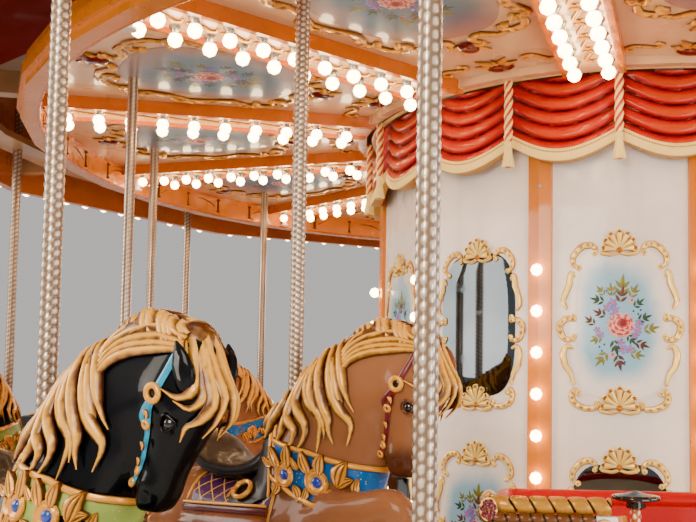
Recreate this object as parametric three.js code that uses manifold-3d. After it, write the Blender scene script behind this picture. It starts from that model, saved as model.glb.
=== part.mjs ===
// Fairground carousel: a turning deck and lit ceiling round a standing core, with horses that rise and fall on poles.
// Millimetres. +Z is up, the axis is at X = Y = 0 and the ground is at Z = 0.
// Travel is anticlockwise seen from above, so a ride's own +X points along the travel and its own +Y at the axis.
import * as THREE from "three";
import { mergeVertices } from "three/addons/utils/BufferGeometryUtils.js";
import Module from "manifold-3d";

const wasm = await Module();
wasm.setup();

// Sizes shared by several pieces
const GAP = 0.3; // between pieces that touch
const RUN = 6; // between the turning part and the standing part
const SIDES = 12; // core sides, light beams and ceiling panels
const SEGMENTS = 36; // facets of round rings
const BEAM_TURN = -94.06; // degrees: direction of the first light beam
const RIDE_PITCH = 30; // degrees between neighbouring rides of a row

// Heights
const FOOT_TOP = 60;
const FRAME_TOP = 140;
const RAIL_TOP = 194;
const DECK_TOP = 300;
const DECK_THICK = 60;
const CORE_TOP = 2500;
const VALANCE_TOP = 2506;
const VALANCE_LOW = 2200;
const RIM_LOW = 2411;
const BEAM_LOW = 2481;
const CEILING_LOW = 2530;
const CEILING_THICK = 12;
const SWEEP_DEPTH = 90;
const HOOP_LOW = 2555;
const EAVES = 3000;
const ROOF_PEAK = 4060;
const MAST_TOP = 3700;
const ROOF_THICK = 24;
const HUB_TOP = ROOF_PEAK - 60;

// Radii
const CORE_APOTHEM = 1003;
const VALANCE_RADIUS = 1085;
const CEILING_INNER = 1122;
const DECK_INNER = 1170;
const DECK_OUTER = 3150;
const RAIL_RADIUS = 2250;
const RIM_INNER = 2462;
const RIM_OUTER = 2540;
const CEILING_OUTER = 2500;
const HOOP_INNER = 2790;
const HOOP_OUTER = 2960;
const BOARD_APOTHEM = 3050;
const BOARD_THICK = 22;
const BOARD_LIP = 24;
const ROOF_OVERHANG = 60;
const MAST_RADIUS = 90;
const HUB_RADIUS = 150;
const FOOT_PLACE = 2750;

// Rides. Lift is how far the row stands from its middle height.
const OUTER_ROW = { radius: 2870, pole: 25, first: -85.1, lift: -15, top: 2760 };
const INNER_ROW = { radius: 2138, pole: 22, first: -113.4, lift: 15, top: 2720 };
const OUTER_PLACES = [1, 2, 3, 4, 7, 8, 9, 10];
const INNER_PLACES = [0, 1, 2, 3, 6, 7, 8, 9];
const POLE_LOW = 470;
const CHARIOT_TURNS = [-77.5, 102.5];
const CHARIOT_RADIUS = 1950;
const CHARIOT_POLE_TURNS = [-96.5, 83.5];
const HOLE_CLEARANCE = 0.5; // round a pole in its guide

const FINISHES = {
  orange: { color: 0xe8731c, roughness: 0.3, metalness: 0 },
  cream: { color: 0xf3e6cf, roughness: 0.2, metalness: 0 },
  red: { color: 0xc8201a, roughness: 0.25, metalness: 0 },
  gold: { color: 0xd9a23c, roughness: 0.3, metalness: 0.6 },
  brass: { color: 0xc9a25e, roughness: 0.3, metalness: 0.8 },
  steel: { color: 0x6b6f72, roughness: 0.5, metalness: 0.7 },
  black: { color: 0x1a1614, roughness: 0.15, metalness: 0 },
  tan: { color: 0xa86a3c, roughness: 0.2, metalness: 0 },
  leather: { color: 0xa81a1c, roughness: 0.4, metalness: 0 },
  wood: { color: 0x9a7650, roughness: 0.6, metalness: 0 },
};

const radians = (degrees) => (degrees * Math.PI) / 180;

// Solids from closed geometry, and the booleans on them

function solid(geometry) {
  const bare = geometry.clone();
  bare.deleteAttribute("normal");
  bare.deleteAttribute("uv");
  const merged = mergeVertices(bare, 1e-3);
  const vertProperties = merged.attributes.position.array;
  const triVerts = new Uint32Array(merged.index.array);
  return new wasm.Manifold(new wasm.Mesh({ numProp: 3, vertProperties, triVerts }));
}

function union(solids) {
  let all = solids[0];
  for (const next of solids.slice(1)) all = all.add(next);
  return all;
}

function placed(geometry, { x = 0, y = 0, z = 0, turn = 0 } = {}) {
  return geometry.clone().rotateZ(radians(turn)).translate(x, y, z);
}

// Closed geometry

function box(x0, x1, y0, y1, z0, z1) {
  const g = new THREE.BoxGeometry(x1 - x0, y1 - y0, z1 - z0);
  return g.translate((x0 + x1) / 2, (y0 + y1) / 2, (z0 + z1) / 2);
}

// A flat outline, x and y pairs anticlockwise, pulled up from z0 to z1.
function prism(points, z0, z1, holes = []) {
  const shape = new THREE.Shape(points.map(([x, y]) => new THREE.Vector2(x, y)));
  for (const hole of holes) {
    shape.holes.push(new THREE.Path(hole.map(([x, y]) => new THREE.Vector2(x, y))));
  }
  const g = new THREE.ExtrudeGeometry(shape, { depth: z1 - z0, bevelEnabled: false });
  return g.translate(0, 0, z0);
}

function ringPoints(radius, count, turn = 0) {
  const points = [];
  for (let i = 0; i < count; i++) {
    const a = radians(turn + (360 * i) / count);
    points.push([radius * Math.cos(a), radius * Math.sin(a)]);
  }
  return points;
}

function disc(radius, z0, z1, count = SEGMENTS, turn = 0) {
  return prism(ringPoints(radius, count, turn), z0, z1);
}

function ring(inner, outer, z0, z1, count = SEGMENTS, turn = 0) {
  return prism(ringPoints(outer, count, turn), z0, z1, [ringPoints(inner, count, turn)]);
}

// A profile of r and z pairs that starts and ends on the axis, turned round it.
function lathe(profile, count = SEGMENTS) {
  const points = profile.map(([r, z]) => new THREE.Vector2(r, z));
  return new THREE.LatheGeometry(points, count).rotateX(Math.PI / 2);
}

// Rings of points, each given as an array of vertices, joined in order and closed at both ends.
function skin(rings) {
  const count = rings[0].length;
  const vertices = [];
  const faces = [];
  for (const points of rings) {
    for (const p of points) vertices.push(...p);
  }
  for (let i = 0; i + 1 < rings.length; i++) {
    for (let j = 0; j < count; j++) {
      const a = i * count + j;
      const b = i * count + ((j + 1) % count);
      faces.push(a, b, b + count, a, b + count, a + count);
    }
  }
  const last = (rings.length - 1) * count;
  for (let j = 1; j + 1 < count; j++) {
    faces.push(0, j + 1, j);
    faces.push(last, last + j, last + j + 1);
  }
  const g = new THREE.BufferGeometry();
  g.setAttribute("position", new THREE.Float32BufferAttribute(vertices, 3));
  g.setIndex(faces);
  return g;
}

// A limb whose path and section change along it. Each stop is [x, y, z, half width, half depth].
function limb(stops, count = 6) {
  const rings = [];
  for (let i = 0; i < stops.length; i++) {
    const before = stops[Math.max(0, i - 1)];
    const after = stops[Math.min(stops.length - 1, i + 1)];
    const along = new THREE.Vector3(...after.slice(0, 3)).sub(new THREE.Vector3(...before.slice(0, 3)));
    along.normalize();
    const side = new THREE.Vector3(0, 1, 0);
    const depth = new THREE.Vector3().crossVectors(along, side).normalize();
    side.crossVectors(depth, along).normalize();
    const [x, y, z, halfWidth, halfDepth] = stops[i];
    const points = [];
    for (let j = 0; j < count; j++) {
      const a = (2 * Math.PI * (j + 0.5)) / count;
      const p = new THREE.Vector3(x, y, z)
        .addScaledVector(side, halfWidth * Math.cos(a))
        .addScaledVector(depth, halfDepth * Math.sin(a));
      points.push([p.x, p.y, p.z]);
    }
    rings.push(points);
  }
  return skin(rings);
}

// An outline of x and z pairs, anticlockwise seen from -Y, pulled from y0 to y1.
function slab(points, y0, y1) {
  return prism(points, -y1, -y0).rotateX(Math.PI / 2);
}

const root = new THREE.Group();
root.name = "fairground_carousel";

// A named mesh in the scene. Its place is on the axis unless a turn in degrees, a radius and a height are given.
function addNode(name, made, finish, { turn = 0, radius = 0, z = 0 } = {}) {
  const m = made.getMesh();
  const g = new THREE.BufferGeometry();
  g.setAttribute("position", new THREE.BufferAttribute(new Float32Array(m.vertProperties), 3));
  g.setIndex(new THREE.BufferAttribute(new Uint32Array(m.triVerts), 1));
  const mesh = new THREE.Mesh(g, new THREE.MeshStandardMaterial(finish));
  mesh.name = name;
  mesh.position.set(radius * Math.cos(radians(turn)), radius * Math.sin(radians(turn)), z);
  mesh.rotation.z = radius > 0 ? radians(turn + 90) : 0;
  root.add(mesh);
}

// Standing part

function baseFrame() {
  const armHalf = 45;
  const armReach = FOOT_PLACE + 120;
  const railHalf = 40;
  const parts = [solid(disc(200, 0, FRAME_TOP, SIDES))];
  for (let i = 0; i < SIDES / 2; i++) {
    const arm = box(-armReach, armReach, -armHalf, armHalf, FOOT_TOP, FRAME_TOP);
    parts.push(solid(placed(arm, { turn: i * 30 })));
  }
  parts.push(solid(ring(RAIL_RADIUS - railHalf, RAIL_RADIUS + railHalf, FRAME_TOP - 10, RAIL_TOP, SIDES)));
  for (let i = 0; i < SIDES; i++) {
    const a = radians(i * 30);
    const foot = disc(110, 0, FOOT_TOP + 10, 6, i * 30);
    parts.push(solid(placed(foot, { x: FOOT_PLACE * Math.cos(a), y: FOOT_PLACE * Math.sin(a) })));
  }
  return union(parts);
}

function coreDrum() {
  const radius = CORE_APOTHEM / Math.cos(Math.PI / SIDES);
  const drum = solid(disc(radius, FRAME_TOP + GAP, CORE_TOP, SIDES, 15));
  return drum.subtract(solid(disc(MAST_RADIUS + GAP + 2, 0, CORE_TOP + 10, 16)));
}

function mast() {
  return solid(disc(MAST_RADIUS, FRAME_TOP + GAP, MAST_TOP, 16));
}

// Corner posts with the cornice and the skirting that join them, all standing proud of the drum.
function coreTrim() {
  const scale = 1 / Math.cos(Math.PI / SIDES);
  const proud = 14;
  const postHalf = 42;
  const cornice = 60;
  const skirting = 110;
  const inner = (CORE_APOTHEM + GAP) * scale;
  const outer = (CORE_APOTHEM + proud) * scale;
  const shell = solid(ring(inner, outer, FRAME_TOP + GAP, CORE_TOP, SIDES, 15));
  const parts = [];
  for (let i = 0; i < SIDES; i++) {
    const block = box(CORE_APOTHEM - 50, outer + 50, -postHalf, postHalf, FRAME_TOP, CORE_TOP);
    parts.push(solid(placed(block, { turn: 15 + i * 30 })));
  }
  parts.push(solid(ring(CORE_APOTHEM - 100, outer + 50, CORE_TOP - cornice, CORE_TOP)));
  parts.push(solid(ring(CORE_APOTHEM - 100, outer + 50, FRAME_TOP, DECK_TOP + skirting)));
  return shell.intersect(union(parts));
}

// Moulded drapery: a ring whose lower edge hangs in 18 swags.
const SWAGS = 18;
const SWAG_STEPS = 4;
const SWAG_SAG = 72;
const SWAG_BULGE = 26;
const VALANCE_BACK = 1053.2;

// The section at one step round, with r and z for each corner.
function swagSection(share) {
  const swell = Math.sin(Math.PI * share);
  const low = VALANCE_LOW + SWAG_SAG * (1 - swell);
  const bulge = SWAG_BULGE * swell;
  return [
    [VALANCE_BACK, VALANCE_TOP],
    [VALANCE_BACK, low],
    [VALANCE_RADIUS - 6 + bulge * 0.7, low],
    [VALANCE_RADIUS - 8 + bulge, low + 90],
    [VALANCE_RADIUS - 14, VALANCE_TOP],
  ];
}

function valance() {
  const count = SWAGS * SWAG_STEPS;
  const corners = 5;
  const faces = [];
  const vertices = [];
  for (let i = 0; i < count; i++) {
    const a = radians(-90 + (360 * i) / count);
    const section = swagSection((i % SWAG_STEPS) / SWAG_STEPS);
    for (const [r, z] of section) vertices.push(r * Math.cos(a), r * Math.sin(a), z);
  }
  for (let i = 0; i < count; i++) {
    const here = i * corners;
    const next = ((i + 1) % count) * corners;
    for (let j = 0; j < corners; j++) {
      const k = (j + 1) % corners;
      faces.push(here + j, next + k, here + k);
      faces.push(here + j, next + j, next + k);
    }
  }
  const g = new THREE.BufferGeometry();
  g.setAttribute("position", new THREE.Float32BufferAttribute(vertices, 3));
  g.setIndex(faces);
  return solid(g);
}

// Ropes with tassels at the joins of the swags, hanging from one cord that runs round the top.
function valanceRopes() {
  const rope = 11;
  const tassel = 22;
  const cord = ring(VALANCE_BACK, VALANCE_RADIUS + 12, VALANCE_TOP + GAP, VALANCE_TOP + 12);
  const parts = [solid(cord)];
  const profile = [
    [0, VALANCE_LOW - 5],
    [tassel, VALANCE_LOW - 5],
    [rope, VALANCE_LOW + 75],
    [rope, VALANCE_TOP + 5],
    [0, VALANCE_TOP + 5],
  ];
  for (let i = 0; i < SWAGS; i++) {
    const a = radians(-90 + (360 * i) / SWAGS);
    const r = VALANCE_RADIUS + 20;
    parts.push(solid(placed(lathe(profile, 5), { x: r * Math.cos(a), y: r * Math.sin(a) })));
  }
  return union(parts);
}

// Turning part

function deck() {
  const runnerHalf = 30;
  const parts = [
    solid(ring(DECK_INNER, DECK_OUTER, DECK_TOP - DECK_THICK, DECK_TOP)),
    solid(ring(RAIL_RADIUS - runnerHalf, RAIL_RADIUS + runnerHalf, RAIL_TOP + RUN, DECK_TOP - DECK_THICK + 10)),
  ];
  return union(parts);
}

function ridePlaces(row) {
  const numbers = row === OUTER_ROW ? OUTER_PLACES : INNER_PLACES;
  return numbers.map((number) => ({ number, turn: row.first - RIDE_PITCH * number }));
}

// Holes for a row's poles through a plate round height z.
function boredForPoles(made, row, z) {
  let bored = made;
  for (const { turn } of ridePlaces(row)) {
    const a = radians(turn);
    const hole = disc(row.pole + HOLE_CLEARANCE, z - 50, z + 50, 8, turn + 90);
    const at = { x: row.radius * Math.cos(a), y: row.radius * Math.sin(a) };
    bored = bored.subtract(solid(placed(hole, at)));
  }
  return bored;
}

function ceiling() {
  const plate = solid(ring(CEILING_INNER, CEILING_OUTER, CEILING_LOW, CEILING_LOW + CEILING_THICK));
  return boredForPoles(plate, INNER_ROW, CEILING_LOW);
}

// Light boxes under the ceiling: a plate for the bulbs between two side mouldings, joined by the inner ring.
function lightBeams() {
  const half = 105;
  const moulding = 22;
  const top = CEILING_LOW - GAP;
  const plate = BEAM_LOW + 14;
  const inner = CEILING_INNER + 8;
  const outer = RIM_INNER * Math.cos(Math.PI / SEGMENTS) - 4;
  const section = [
    [-half, top],
    [-half, BEAM_LOW],
    [moulding - half, BEAM_LOW],
    [moulding - half, plate],
    [half - moulding, plate],
    [half - moulding, BEAM_LOW],
    [half, BEAM_LOW],
    [half, top],
  ];
  const beam = slab(section, inner, outer).rotateZ(-Math.PI / 2);
  const parts = [solid(ring(CEILING_INNER, CEILING_INNER + 36, BEAM_LOW + 20, top))];
  for (let i = 0; i < SIDES; i++) {
    parts.push(solid(placed(beam, { turn: BEAM_TURN + 30 * i })));
  }
  return union(parts);
}

function rim() {
  const top = CEILING_LOW - GAP;
  const parts = [
    solid(ring(RIM_INNER, RIM_OUTER - 14, RIM_LOW, top)),
    solid(ring(RIM_INNER + 8, RIM_OUTER, RIM_LOW + 34, RIM_LOW + 74)),
  ];
  return union(parts);
}

// Arms above the ceiling from the hub on the mast to the boards, a hoop that guides the poles of the outer row,
// and the raised hub that carries the roof and turns on the mast's top.
function sweeps() {
  const low = CEILING_LOW + CEILING_THICK + GAP;
  const high = low + SWEEP_DEPTH;
  const halfArm = 35;
  const corner = Math.PI / SIDES;
  const reach = BOARD_APOTHEM / Math.cos(corner) - halfArm * Math.tan(corner) - GAP;
  const parts = [solid(disc(260, low, high, SIDES)), solid(disc(HUB_RADIUS, low, HUB_TOP, SIDES))];
  for (let i = 0; i < SIDES; i++) {
    const arm = box(0, reach, -halfArm, halfArm, low, high);
    parts.push(solid(placed(arm, { turn: BEAM_TURN + 30 * i })));
  }
  parts.push(solid(ring(HOOP_INNER, HOOP_OUTER, HOOP_LOW, HOOP_LOW + 30, 24, BEAM_TURN)));
  const seat = solid(disc(MAST_RADIUS + RUN, 0, MAST_TOP + GAP, 16));
  return boredForPoles(union(parts).subtract(seat), OUTER_ROW, HOOP_LOW);
}

function roundingBoards() {
  const scale = 1 / Math.cos(Math.PI / SIDES);
  const low = RIM_LOW + 40;
  const inner = BOARD_APOTHEM * scale;
  const outer = (BOARD_APOTHEM + BOARD_THICK) * scale;
  const lip = (BOARD_APOTHEM + BOARD_THICK + BOARD_LIP) * scale;
  const parts = [
    solid(ring(inner, outer, low, EAVES, SIDES, BEAM_TURN)),
    solid(ring(inner, lip, low, low + 40, SIDES, BEAM_TURN)),
    solid(ring(inner, lip, EAVES - 50, EAVES, SIDES, BEAM_TURN)),
  ];
  return union(parts);
}

function roofCone(edge, low, top, peak) {
  const lip = 12;
  const rings = [
    ringPoints(edge, SIDES, BEAM_TURN).map(([x, y]) => [x, y, low]),
    ringPoints(edge, SIDES, BEAM_TURN).map(([x, y]) => [x, y, low + lip]),
    ringPoints(top, SIDES, BEAM_TURN).map(([x, y]) => [x, y, peak]),
  ];
  return solid(skin(rings));
}

function roofCanopy() {
  const edge = (BOARD_APOTHEM + BOARD_THICK + ROOF_OVERHANG) / Math.cos(Math.PI / SIDES);
  const low = EAVES + GAP;
  const outside = roofCone(edge, low, HUB_RADIUS + 20, ROOF_PEAK);
  const inside = roofCone(edge - 60, low - ROOF_THICK, HUB_RADIUS + GAP, ROOF_PEAK - ROOF_THICK);
  const bore = solid(disc(HUB_RADIUS + GAP, 0, ROOF_PEAK + 100, 16));
  return outside.subtract(inside).subtract(bore);
}

function finial() {
  const profile = [
    [0, 0],
    [110, 0],
    [120, 70],
    [50, 110],
    [46, 150],
    [100, 210],
    [100, 250],
    [40, 320],
    [12, 420],
    [0, 430],
  ];
  return solid(lathe(profile, 16));
}

// Rides

// A jumping horse with saddle, mane and tail. Its own origin is on the pole's axis at deck level.
// Each stop is x, y, z, half width and half depth.
const BARREL = [
  [-450, 0, 730, 62, 66],
  [-330, 0, 712, 138, 138],
  [20, 0, 695, 134, 152],
  [160, 0, 740, 116, 158],
  [250, 0, 780, 60, 90],
];
const NECK = [
  [60, 0, 790, 100, 170],
  [150, 0, 960, 102, 172],
  [235, 0, 1085, 82, 148],
  [340, 0, 1160, 62, 105],
  [420, 0, 1185, 46, 70],
];
const HEAD = [
  [452, 0, 1225, 36, 50],
  [428, 0, 1130, 60, 104],
  [400, 0, 1040, 52, 84],
  [382, 0, 950, 41, 54],
  [372, 0, 890, 35, 42],
];
const TAIL = [
  [-420, 0, 770, 40, 40],
  [-500, 0, 730, 56, 56],
  [-520, 0, 430, 22, 24],
];
// Two raised forelegs and two stretched hind legs.
const LEGS = [
  [
    [150, 80, 690, 62, 88],
    [275, 88, 610, 38, 44],
    [290, 90, 440, 26, 28],
    [340, 90, 360, 32, 40],
  ],
  [
    [140, -80, 690, 66, 92],
    [402, -99, 808, 44, 50],
    [388, -98, 650, 27, 30],
    [325, -96, 575, 33, 42],
  ],
  [
    [-350, 78, 700, 62, 100],
    [-400, 84, 530, 38, 46],
    [-490, 84, 320, 32, 38],
  ],
  [
    [-350, -78, 700, 62, 100],
    [-360, -84, 530, 38, 46],
    [-440, -84, 305, 32, 38],
  ],
];
// Outlines in x and z
const MANE = [
  [-80, 930],
  [80, 1040],
  [300, 1180],
  [470, 1190],
  [500, 1090],
  [545, 1120],
  [520, 1200],
  [440, 1262],
  [350, 1288],
  [240, 1268],
  [120, 1195],
  [20, 1120],
];
const SADDLE = [
  [-320, 790],
  [-60, 790],
  [-56, 890],
  [-130, 868],
  [-260, 868],
  [-340, 930],
];

function horse(row) {
  const maneHalf = 34;
  const saddleHalf = 116;
  const parts = [
    solid(limb(BARREL, 6)),
    solid(limb(NECK, 5)),
    solid(limb(HEAD, 5)),
    solid(limb(TAIL, 4)),
    solid(slab(MANE, -maneHalf, maneHalf)),
    solid(slab(SADDLE, -saddleHalf, saddleHalf)),
  ];
  for (const stops of LEGS) parts.push(solid(limb(stops, 4)));
  return union(parts).subtract(solid(disc(row.pole + GAP, 0, 2000, 8)));
}

function ridePole(row) {
  return solid(disc(row.pole, POLE_LOW, row.top - DECK_TOP - row.lift, 8));
}

const CHARIOT = { half: 750, width: 380, wall: 28, floor: 90, back: 850, side: 790, entry: 430, scroll: -520 };
const CHARIOT_ROLL = 20;
const CHARIOT_SEAT = 320; // height over the floor
const CHARIOT_TAPER = 100; // how far the rear end lies further forward at the inner side
const ROLL_RETURN = 100; // how far the roll turns round the rear corner

// Draws the rear end forward, the more the nearer the inner side.
function tapered(geometry) {
  const place = geometry.getAttribute("position");
  for (let i = 0; i < place.count; i++) {
    const share = THREE.MathUtils.clamp((-place.getX(i) - 450) / 250, 0, 1);
    const across = (place.getY(i) + CHARIOT.width) / (2 * CHARIOT.width);
    place.setX(i, place.getX(i) + CHARIOT_TAPER * share * across);
  }
  return geometry;
}

// Sides of the chariot: the outer one is high at the back and drops to a low way in, the inner one stays high
// and carries the seat's padded edge.
function chariotBody() {
  const { half, width, wall, floor, back, side, entry, scroll } = CHARIOT;
  const rake = 40;
  const bow = 60;
  const outer = [
    [-half, 0],
    [half, 0],
    [half + bow, entry],
    [half - 120, entry + 60],
    [scroll + 160, entry],
    [scroll, back],
    [-half - rake, back],
  ];
  const inner = [
    [-half, 0],
    [half, 0],
    [half + bow, entry],
    [half - 100, side],
    [-half - (rake * side) / back, side],
  ];
  const rearTo = (top) => [
    [-half - (rake * top) / back, top],
    [-half, 0],
    [-half + wall, 0],
    [-half + wall - (rake * top) / back, top],
  ];
  const corner = -width + ROLL_RETURN + 10;
  const front = [
    [half - wall, 0],
    [half, 0],
    [half + bow, entry],
    [half + bow - wall, entry],
  ];
  const parts = [
    solid(tapered(box(-half, half, -width, width, 0, floor))),
    solid(tapered(slab(outer, -width, -width + wall))),
    solid(tapered(slab(inner, width - wall, width))),
    solid(tapered(slab(rearTo(side), -width, width))),
    solid(tapered(slab(rearTo(back), -width, corner))),
    solid(slab(front, -width, width)),
  ];
  return union(parts);
}

// A seat at the rear, a short bench on the inner side and a padded back over it, with a round edge on the
// wall's top.
function chariotSeat() {
  const { half, width, wall, floor, back, side } = CHARIOT;
  const seat = floor + CHARIOT_SEAT;
  const pad = 70;
  const edge = 24;
  const front = half - 170;
  const rear = [
    [-half + wall + GAP, floor + GAP],
    [-half + 310, floor + GAP],
    [-half + 320, seat],
    [-half + 100, seat],
    [-half + 80, side + 20],
    [-half + wall + GAP - 36, side + 20],
  ];
  const bench = [
    [-half + 140, floor + GAP],
    [90, floor + GAP],
    [90, seat],
    [-half + 140, seat],
  ];
  const inside = [
    [-half + 140, floor + GAP],
    [front, floor + GAP],
    [front, side + 20],
    [-half + 100, side + 20],
  ];
  const inner = width - wall - GAP;
  const rest = edge * Math.cos(Math.PI / 8);
  const z = side + GAP + rest;
  const bar = disc(edge, -half, half - 120, 8, 22.5).rotateY(Math.PI / 2);
  const rearBar = disc(edge, -width + ROLL_RETURN + 40, width - wall / 2, 8, 22.5).rotateX(-Math.PI / 2);
  const parts = [
    solid(tapered(slab(rear, -inner, inner))),
    solid(tapered(slab(bench, inner - 260, inner))),
    solid(tapered(slab(inside, inner - pad, inner))),
    solid(tapered(placed(bar, { y: width - wall / 2, z }))),
    solid(tapered(placed(rearBar, { x: -half - 20, z }))),
  ];
  return union(parts);
}

// Rolled edge along the top of the outer side and round the rear corner.
function chariotRoll() {
  const { half, width, wall, back, scroll } = CHARIOT;
  const facets = 8;
  const z = back + GAP + CHARIOT_ROLL * Math.cos(Math.PI / facets);
  const y = width - wall / 2;
  const path = [
    [scroll - 30, -y],
    [-half - 26, -y],
    [-half - 26, -y + ROLL_RETURN],
  ];
  const parts = [];
  for (let i = 0; i + 1 < path.length; i++) {
    const [x0, y0] = path[i];
    const [x1, y1] = path[i + 1];
    const length = Math.hypot(x1 - x0, y1 - y0) + (i === 0 ? 2 * CHARIOT_ROLL : 0);
    const bar = disc(CHARIOT_ROLL, -length / 2, length / 2, facets, 180 / facets).rotateY(Math.PI / 2);
    const turn = THREE.MathUtils.radToDeg(Math.atan2(y1 - y0, x1 - x0));
    parts.push(solid(placed(bar, { turn, x: (x0 + x1) / 2, y: (y0 + y1) / 2, z })));
  }
  return union(parts);
}

const GRIP_PLACE = { x: -398, y: -20 };

function gripPost() {
  const { floor } = CHARIOT;
  const profile = [
    [0, floor + GAP],
    [30, floor + GAP],
    [30, floor + 12],
    [14, floor + 20],
    [14, 830],
    [24, 838],
    [58, 846],
    [58, 860],
    [22, 866],
    [0, 872],
  ];
  return solid(placed(lathe(profile, 10), GRIP_PLACE));
}

// Assembly

function addStanding() {
  addNode("base_frame", baseFrame(), FINISHES.steel);
  addNode("mast", mast(), FINISHES.steel);
  addNode("core_drum", coreDrum(), FINISHES.cream);
  addNode("core_trim", coreTrim(), FINISHES.orange);
  addNode("valance", valance(), FINISHES.red);
  addNode("valance_ropes", valanceRopes(), FINISHES.cream);
}

function addTurning() {
  addNode("deck", deck(), FINISHES.wood);
  addNode("ceiling", ceiling(), FINISHES.cream);
  addNode("light_beams", lightBeams(), FINISHES.orange);
  addNode("rim", rim(), FINISHES.orange);
  addNode("sweeps", sweeps(), FINISHES.steel);
  addNode("rounding_boards", roundingBoards(), FINISHES.orange);
  addNode("roof_canopy", roofCanopy(), FINISHES.cream);
  addNode("finial", finial(), FINISHES.gold, { z: HUB_TOP + GAP });
}

function addRides(row, kind, finish) {
  const animal = horse(row);
  const pole = ridePole(row);
  for (const { number, turn } of ridePlaces(row)) {
    const place = { turn, radius: row.radius, z: DECK_TOP + row.lift };
    addNode(`${kind}_horse_${number}`, animal, finish, place);
    addNode(`${kind}_pole_${number}`, pole, FINISHES.brass, place);
  }
}

function addChariots() {
  CHARIOT_TURNS.forEach((turn, i) => {
    const place = { turn, radius: CHARIOT_RADIUS, z: DECK_TOP + GAP };
    addNode(`chariot_body_${i + 1}`, chariotBody(), FINISHES.cream, place);
    addNode(`chariot_seat_${i + 1}`, chariotSeat(), FINISHES.leather, place);
    addNode(`chariot_roll_${i + 1}`, chariotRoll(), FINISHES.gold, place);
    addNode(`grip_post_${i + 1}`, gripPost(), FINISHES.gold, place);
  });
  CHARIOT_POLE_TURNS.forEach((turn, i) => {
    const pole = solid(disc(OUTER_ROW.pole, DECK_TOP + GAP, HOOP_LOW - GAP, 8));
    addNode(`fixed_pole_${i + 1}`, pole, FINISHES.brass, { turn, radius: OUTER_ROW.radius });
  });
}

addStanding();
addTurning();
addRides(OUTER_ROW, "outer", FINISHES.black);
addRides(INNER_ROW, "inner", FINISHES.tan);
addChariots();

export default root;
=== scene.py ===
"""Looks of a fairground carousel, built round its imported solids. Metres, +Z up, the axis at X = Y = 0."""

import math

import bpy
import numpy as np
from bpy.props import FloatProperty, FloatVectorProperty, PointerProperty
from mathutils import Matrix, Vector
from mathutils.bvhtree import BVHTree


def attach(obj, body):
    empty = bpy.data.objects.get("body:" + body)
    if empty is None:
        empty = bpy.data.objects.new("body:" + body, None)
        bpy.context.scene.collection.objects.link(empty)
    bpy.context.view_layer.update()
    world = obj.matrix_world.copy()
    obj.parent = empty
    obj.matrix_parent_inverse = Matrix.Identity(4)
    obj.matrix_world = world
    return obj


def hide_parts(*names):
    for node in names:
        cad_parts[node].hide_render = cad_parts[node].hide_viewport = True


bl_info = {
    "name": "Fairground carousel",
    "version": (1, 0, 0),
    "blender": (4, 5, 0),
    "location": "3D View > Sidebar > Carousel",
    "description": "Dresses the packed solids of a fairground carousel",
    "category": "Object",
}

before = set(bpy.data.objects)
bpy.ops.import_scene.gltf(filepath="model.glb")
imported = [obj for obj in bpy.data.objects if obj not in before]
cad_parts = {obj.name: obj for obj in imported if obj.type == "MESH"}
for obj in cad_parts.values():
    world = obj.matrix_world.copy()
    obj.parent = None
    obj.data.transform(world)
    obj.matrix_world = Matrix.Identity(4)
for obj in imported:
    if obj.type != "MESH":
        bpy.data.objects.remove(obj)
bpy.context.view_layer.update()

# Places that the solids give, in metres and degrees
SIDES = 12
SWAGS = 18
BEAM_TURN = -94.06
DECK_TOP = 0.3
CORE_APOTHEM = 1.003
CEILING_LOW = 2.53
BEAM_LOW = 2.481
OUTER_ROW = {
    "kind": "outer", "radius": 2.87, "first": -85.1, "lift": -0.015, "places": (1, 2, 3, 4, 7, 8, 9, 10)
}
INNER_ROW = {
    "kind": "inner", "radius": 2.138, "first": -113.4, "lift": 0.015, "places": (0, 1, 2, 3, 6, 7, 8, 9)
}
CHARIOT_TURNS = (-77.5, 102.5)
CHARIOT_RADIUS = 1.95
FIXED_POLE_TURNS = (-96.5, 83.5)
CAMERA_PLACE = (0.0, -4.6)
EYE_HEIGHT = 1.40
CAMERA_TURN, CAMERA_TILT, CAMERA_ROLL = 14.95, 4.03, 1.02  # degrees
CAMERA_SHIFT = 0.0842  # share of the sensor's width
NEAR_REACH = 2.9  # metres from the camera: rides closer than this get the finer meshes
NEAR_SHARE, FAR_SHARE = 0.45, 0.09  # of a horse's triangles


# Surfaces


class Surface:
    """Points, face arrays, a material number, and a value from 0 to 1 for each point that its material reads."""

    def __init__(self, points, faces, tone=0, relief=0.0, flat=None):
        self.points = np.asarray(points, float).reshape(-1, 3)
        self.faces = [np.asarray(f, int) for f in faces if len(f)]
        self.tone = tone
        count = len(self.points)
        self.relief = np.array(np.broadcast_to(np.asarray(relief, float).reshape(-1), (count,)))
        self.flat = np.zeros((count, 2)) if flat is None else np.asarray(flat, float).reshape(-1, 2)

    def moved(self, matrix):
        """The same surface carried by a 4 by 4 matrix; a mirroring matrix turns its faces round."""
        m = np.asarray(matrix)
        mirrored = np.linalg.det(m[:3, :3]) < 0
        faces = [f[:, ::-1] if mirrored else f for f in self.faces]
        return Surface(self.points @ m[:3, :3].T + m[:3, 3], faces, self.tone, self.relief, self.flat)


def copies(surface, matrices):
    """One surface that holds a copy for each matrix: every point times every matrix at once."""
    m = np.asarray(matrices)
    count = len(m)
    size = len(surface.points)
    points = np.einsum("kij,nj->kni", m[:, :3, :3], surface.points) + m[:, None, :3, 3]
    steps = (np.arange(count) * size)[:, None, None]
    faces = [(f[None] + steps).reshape(-1, f.shape[1]) for f in surface.faces]
    return Surface(
        points, faces, surface.tone, np.tile(surface.relief, count), np.tile(surface.flat, (count, 1))
    )


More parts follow.
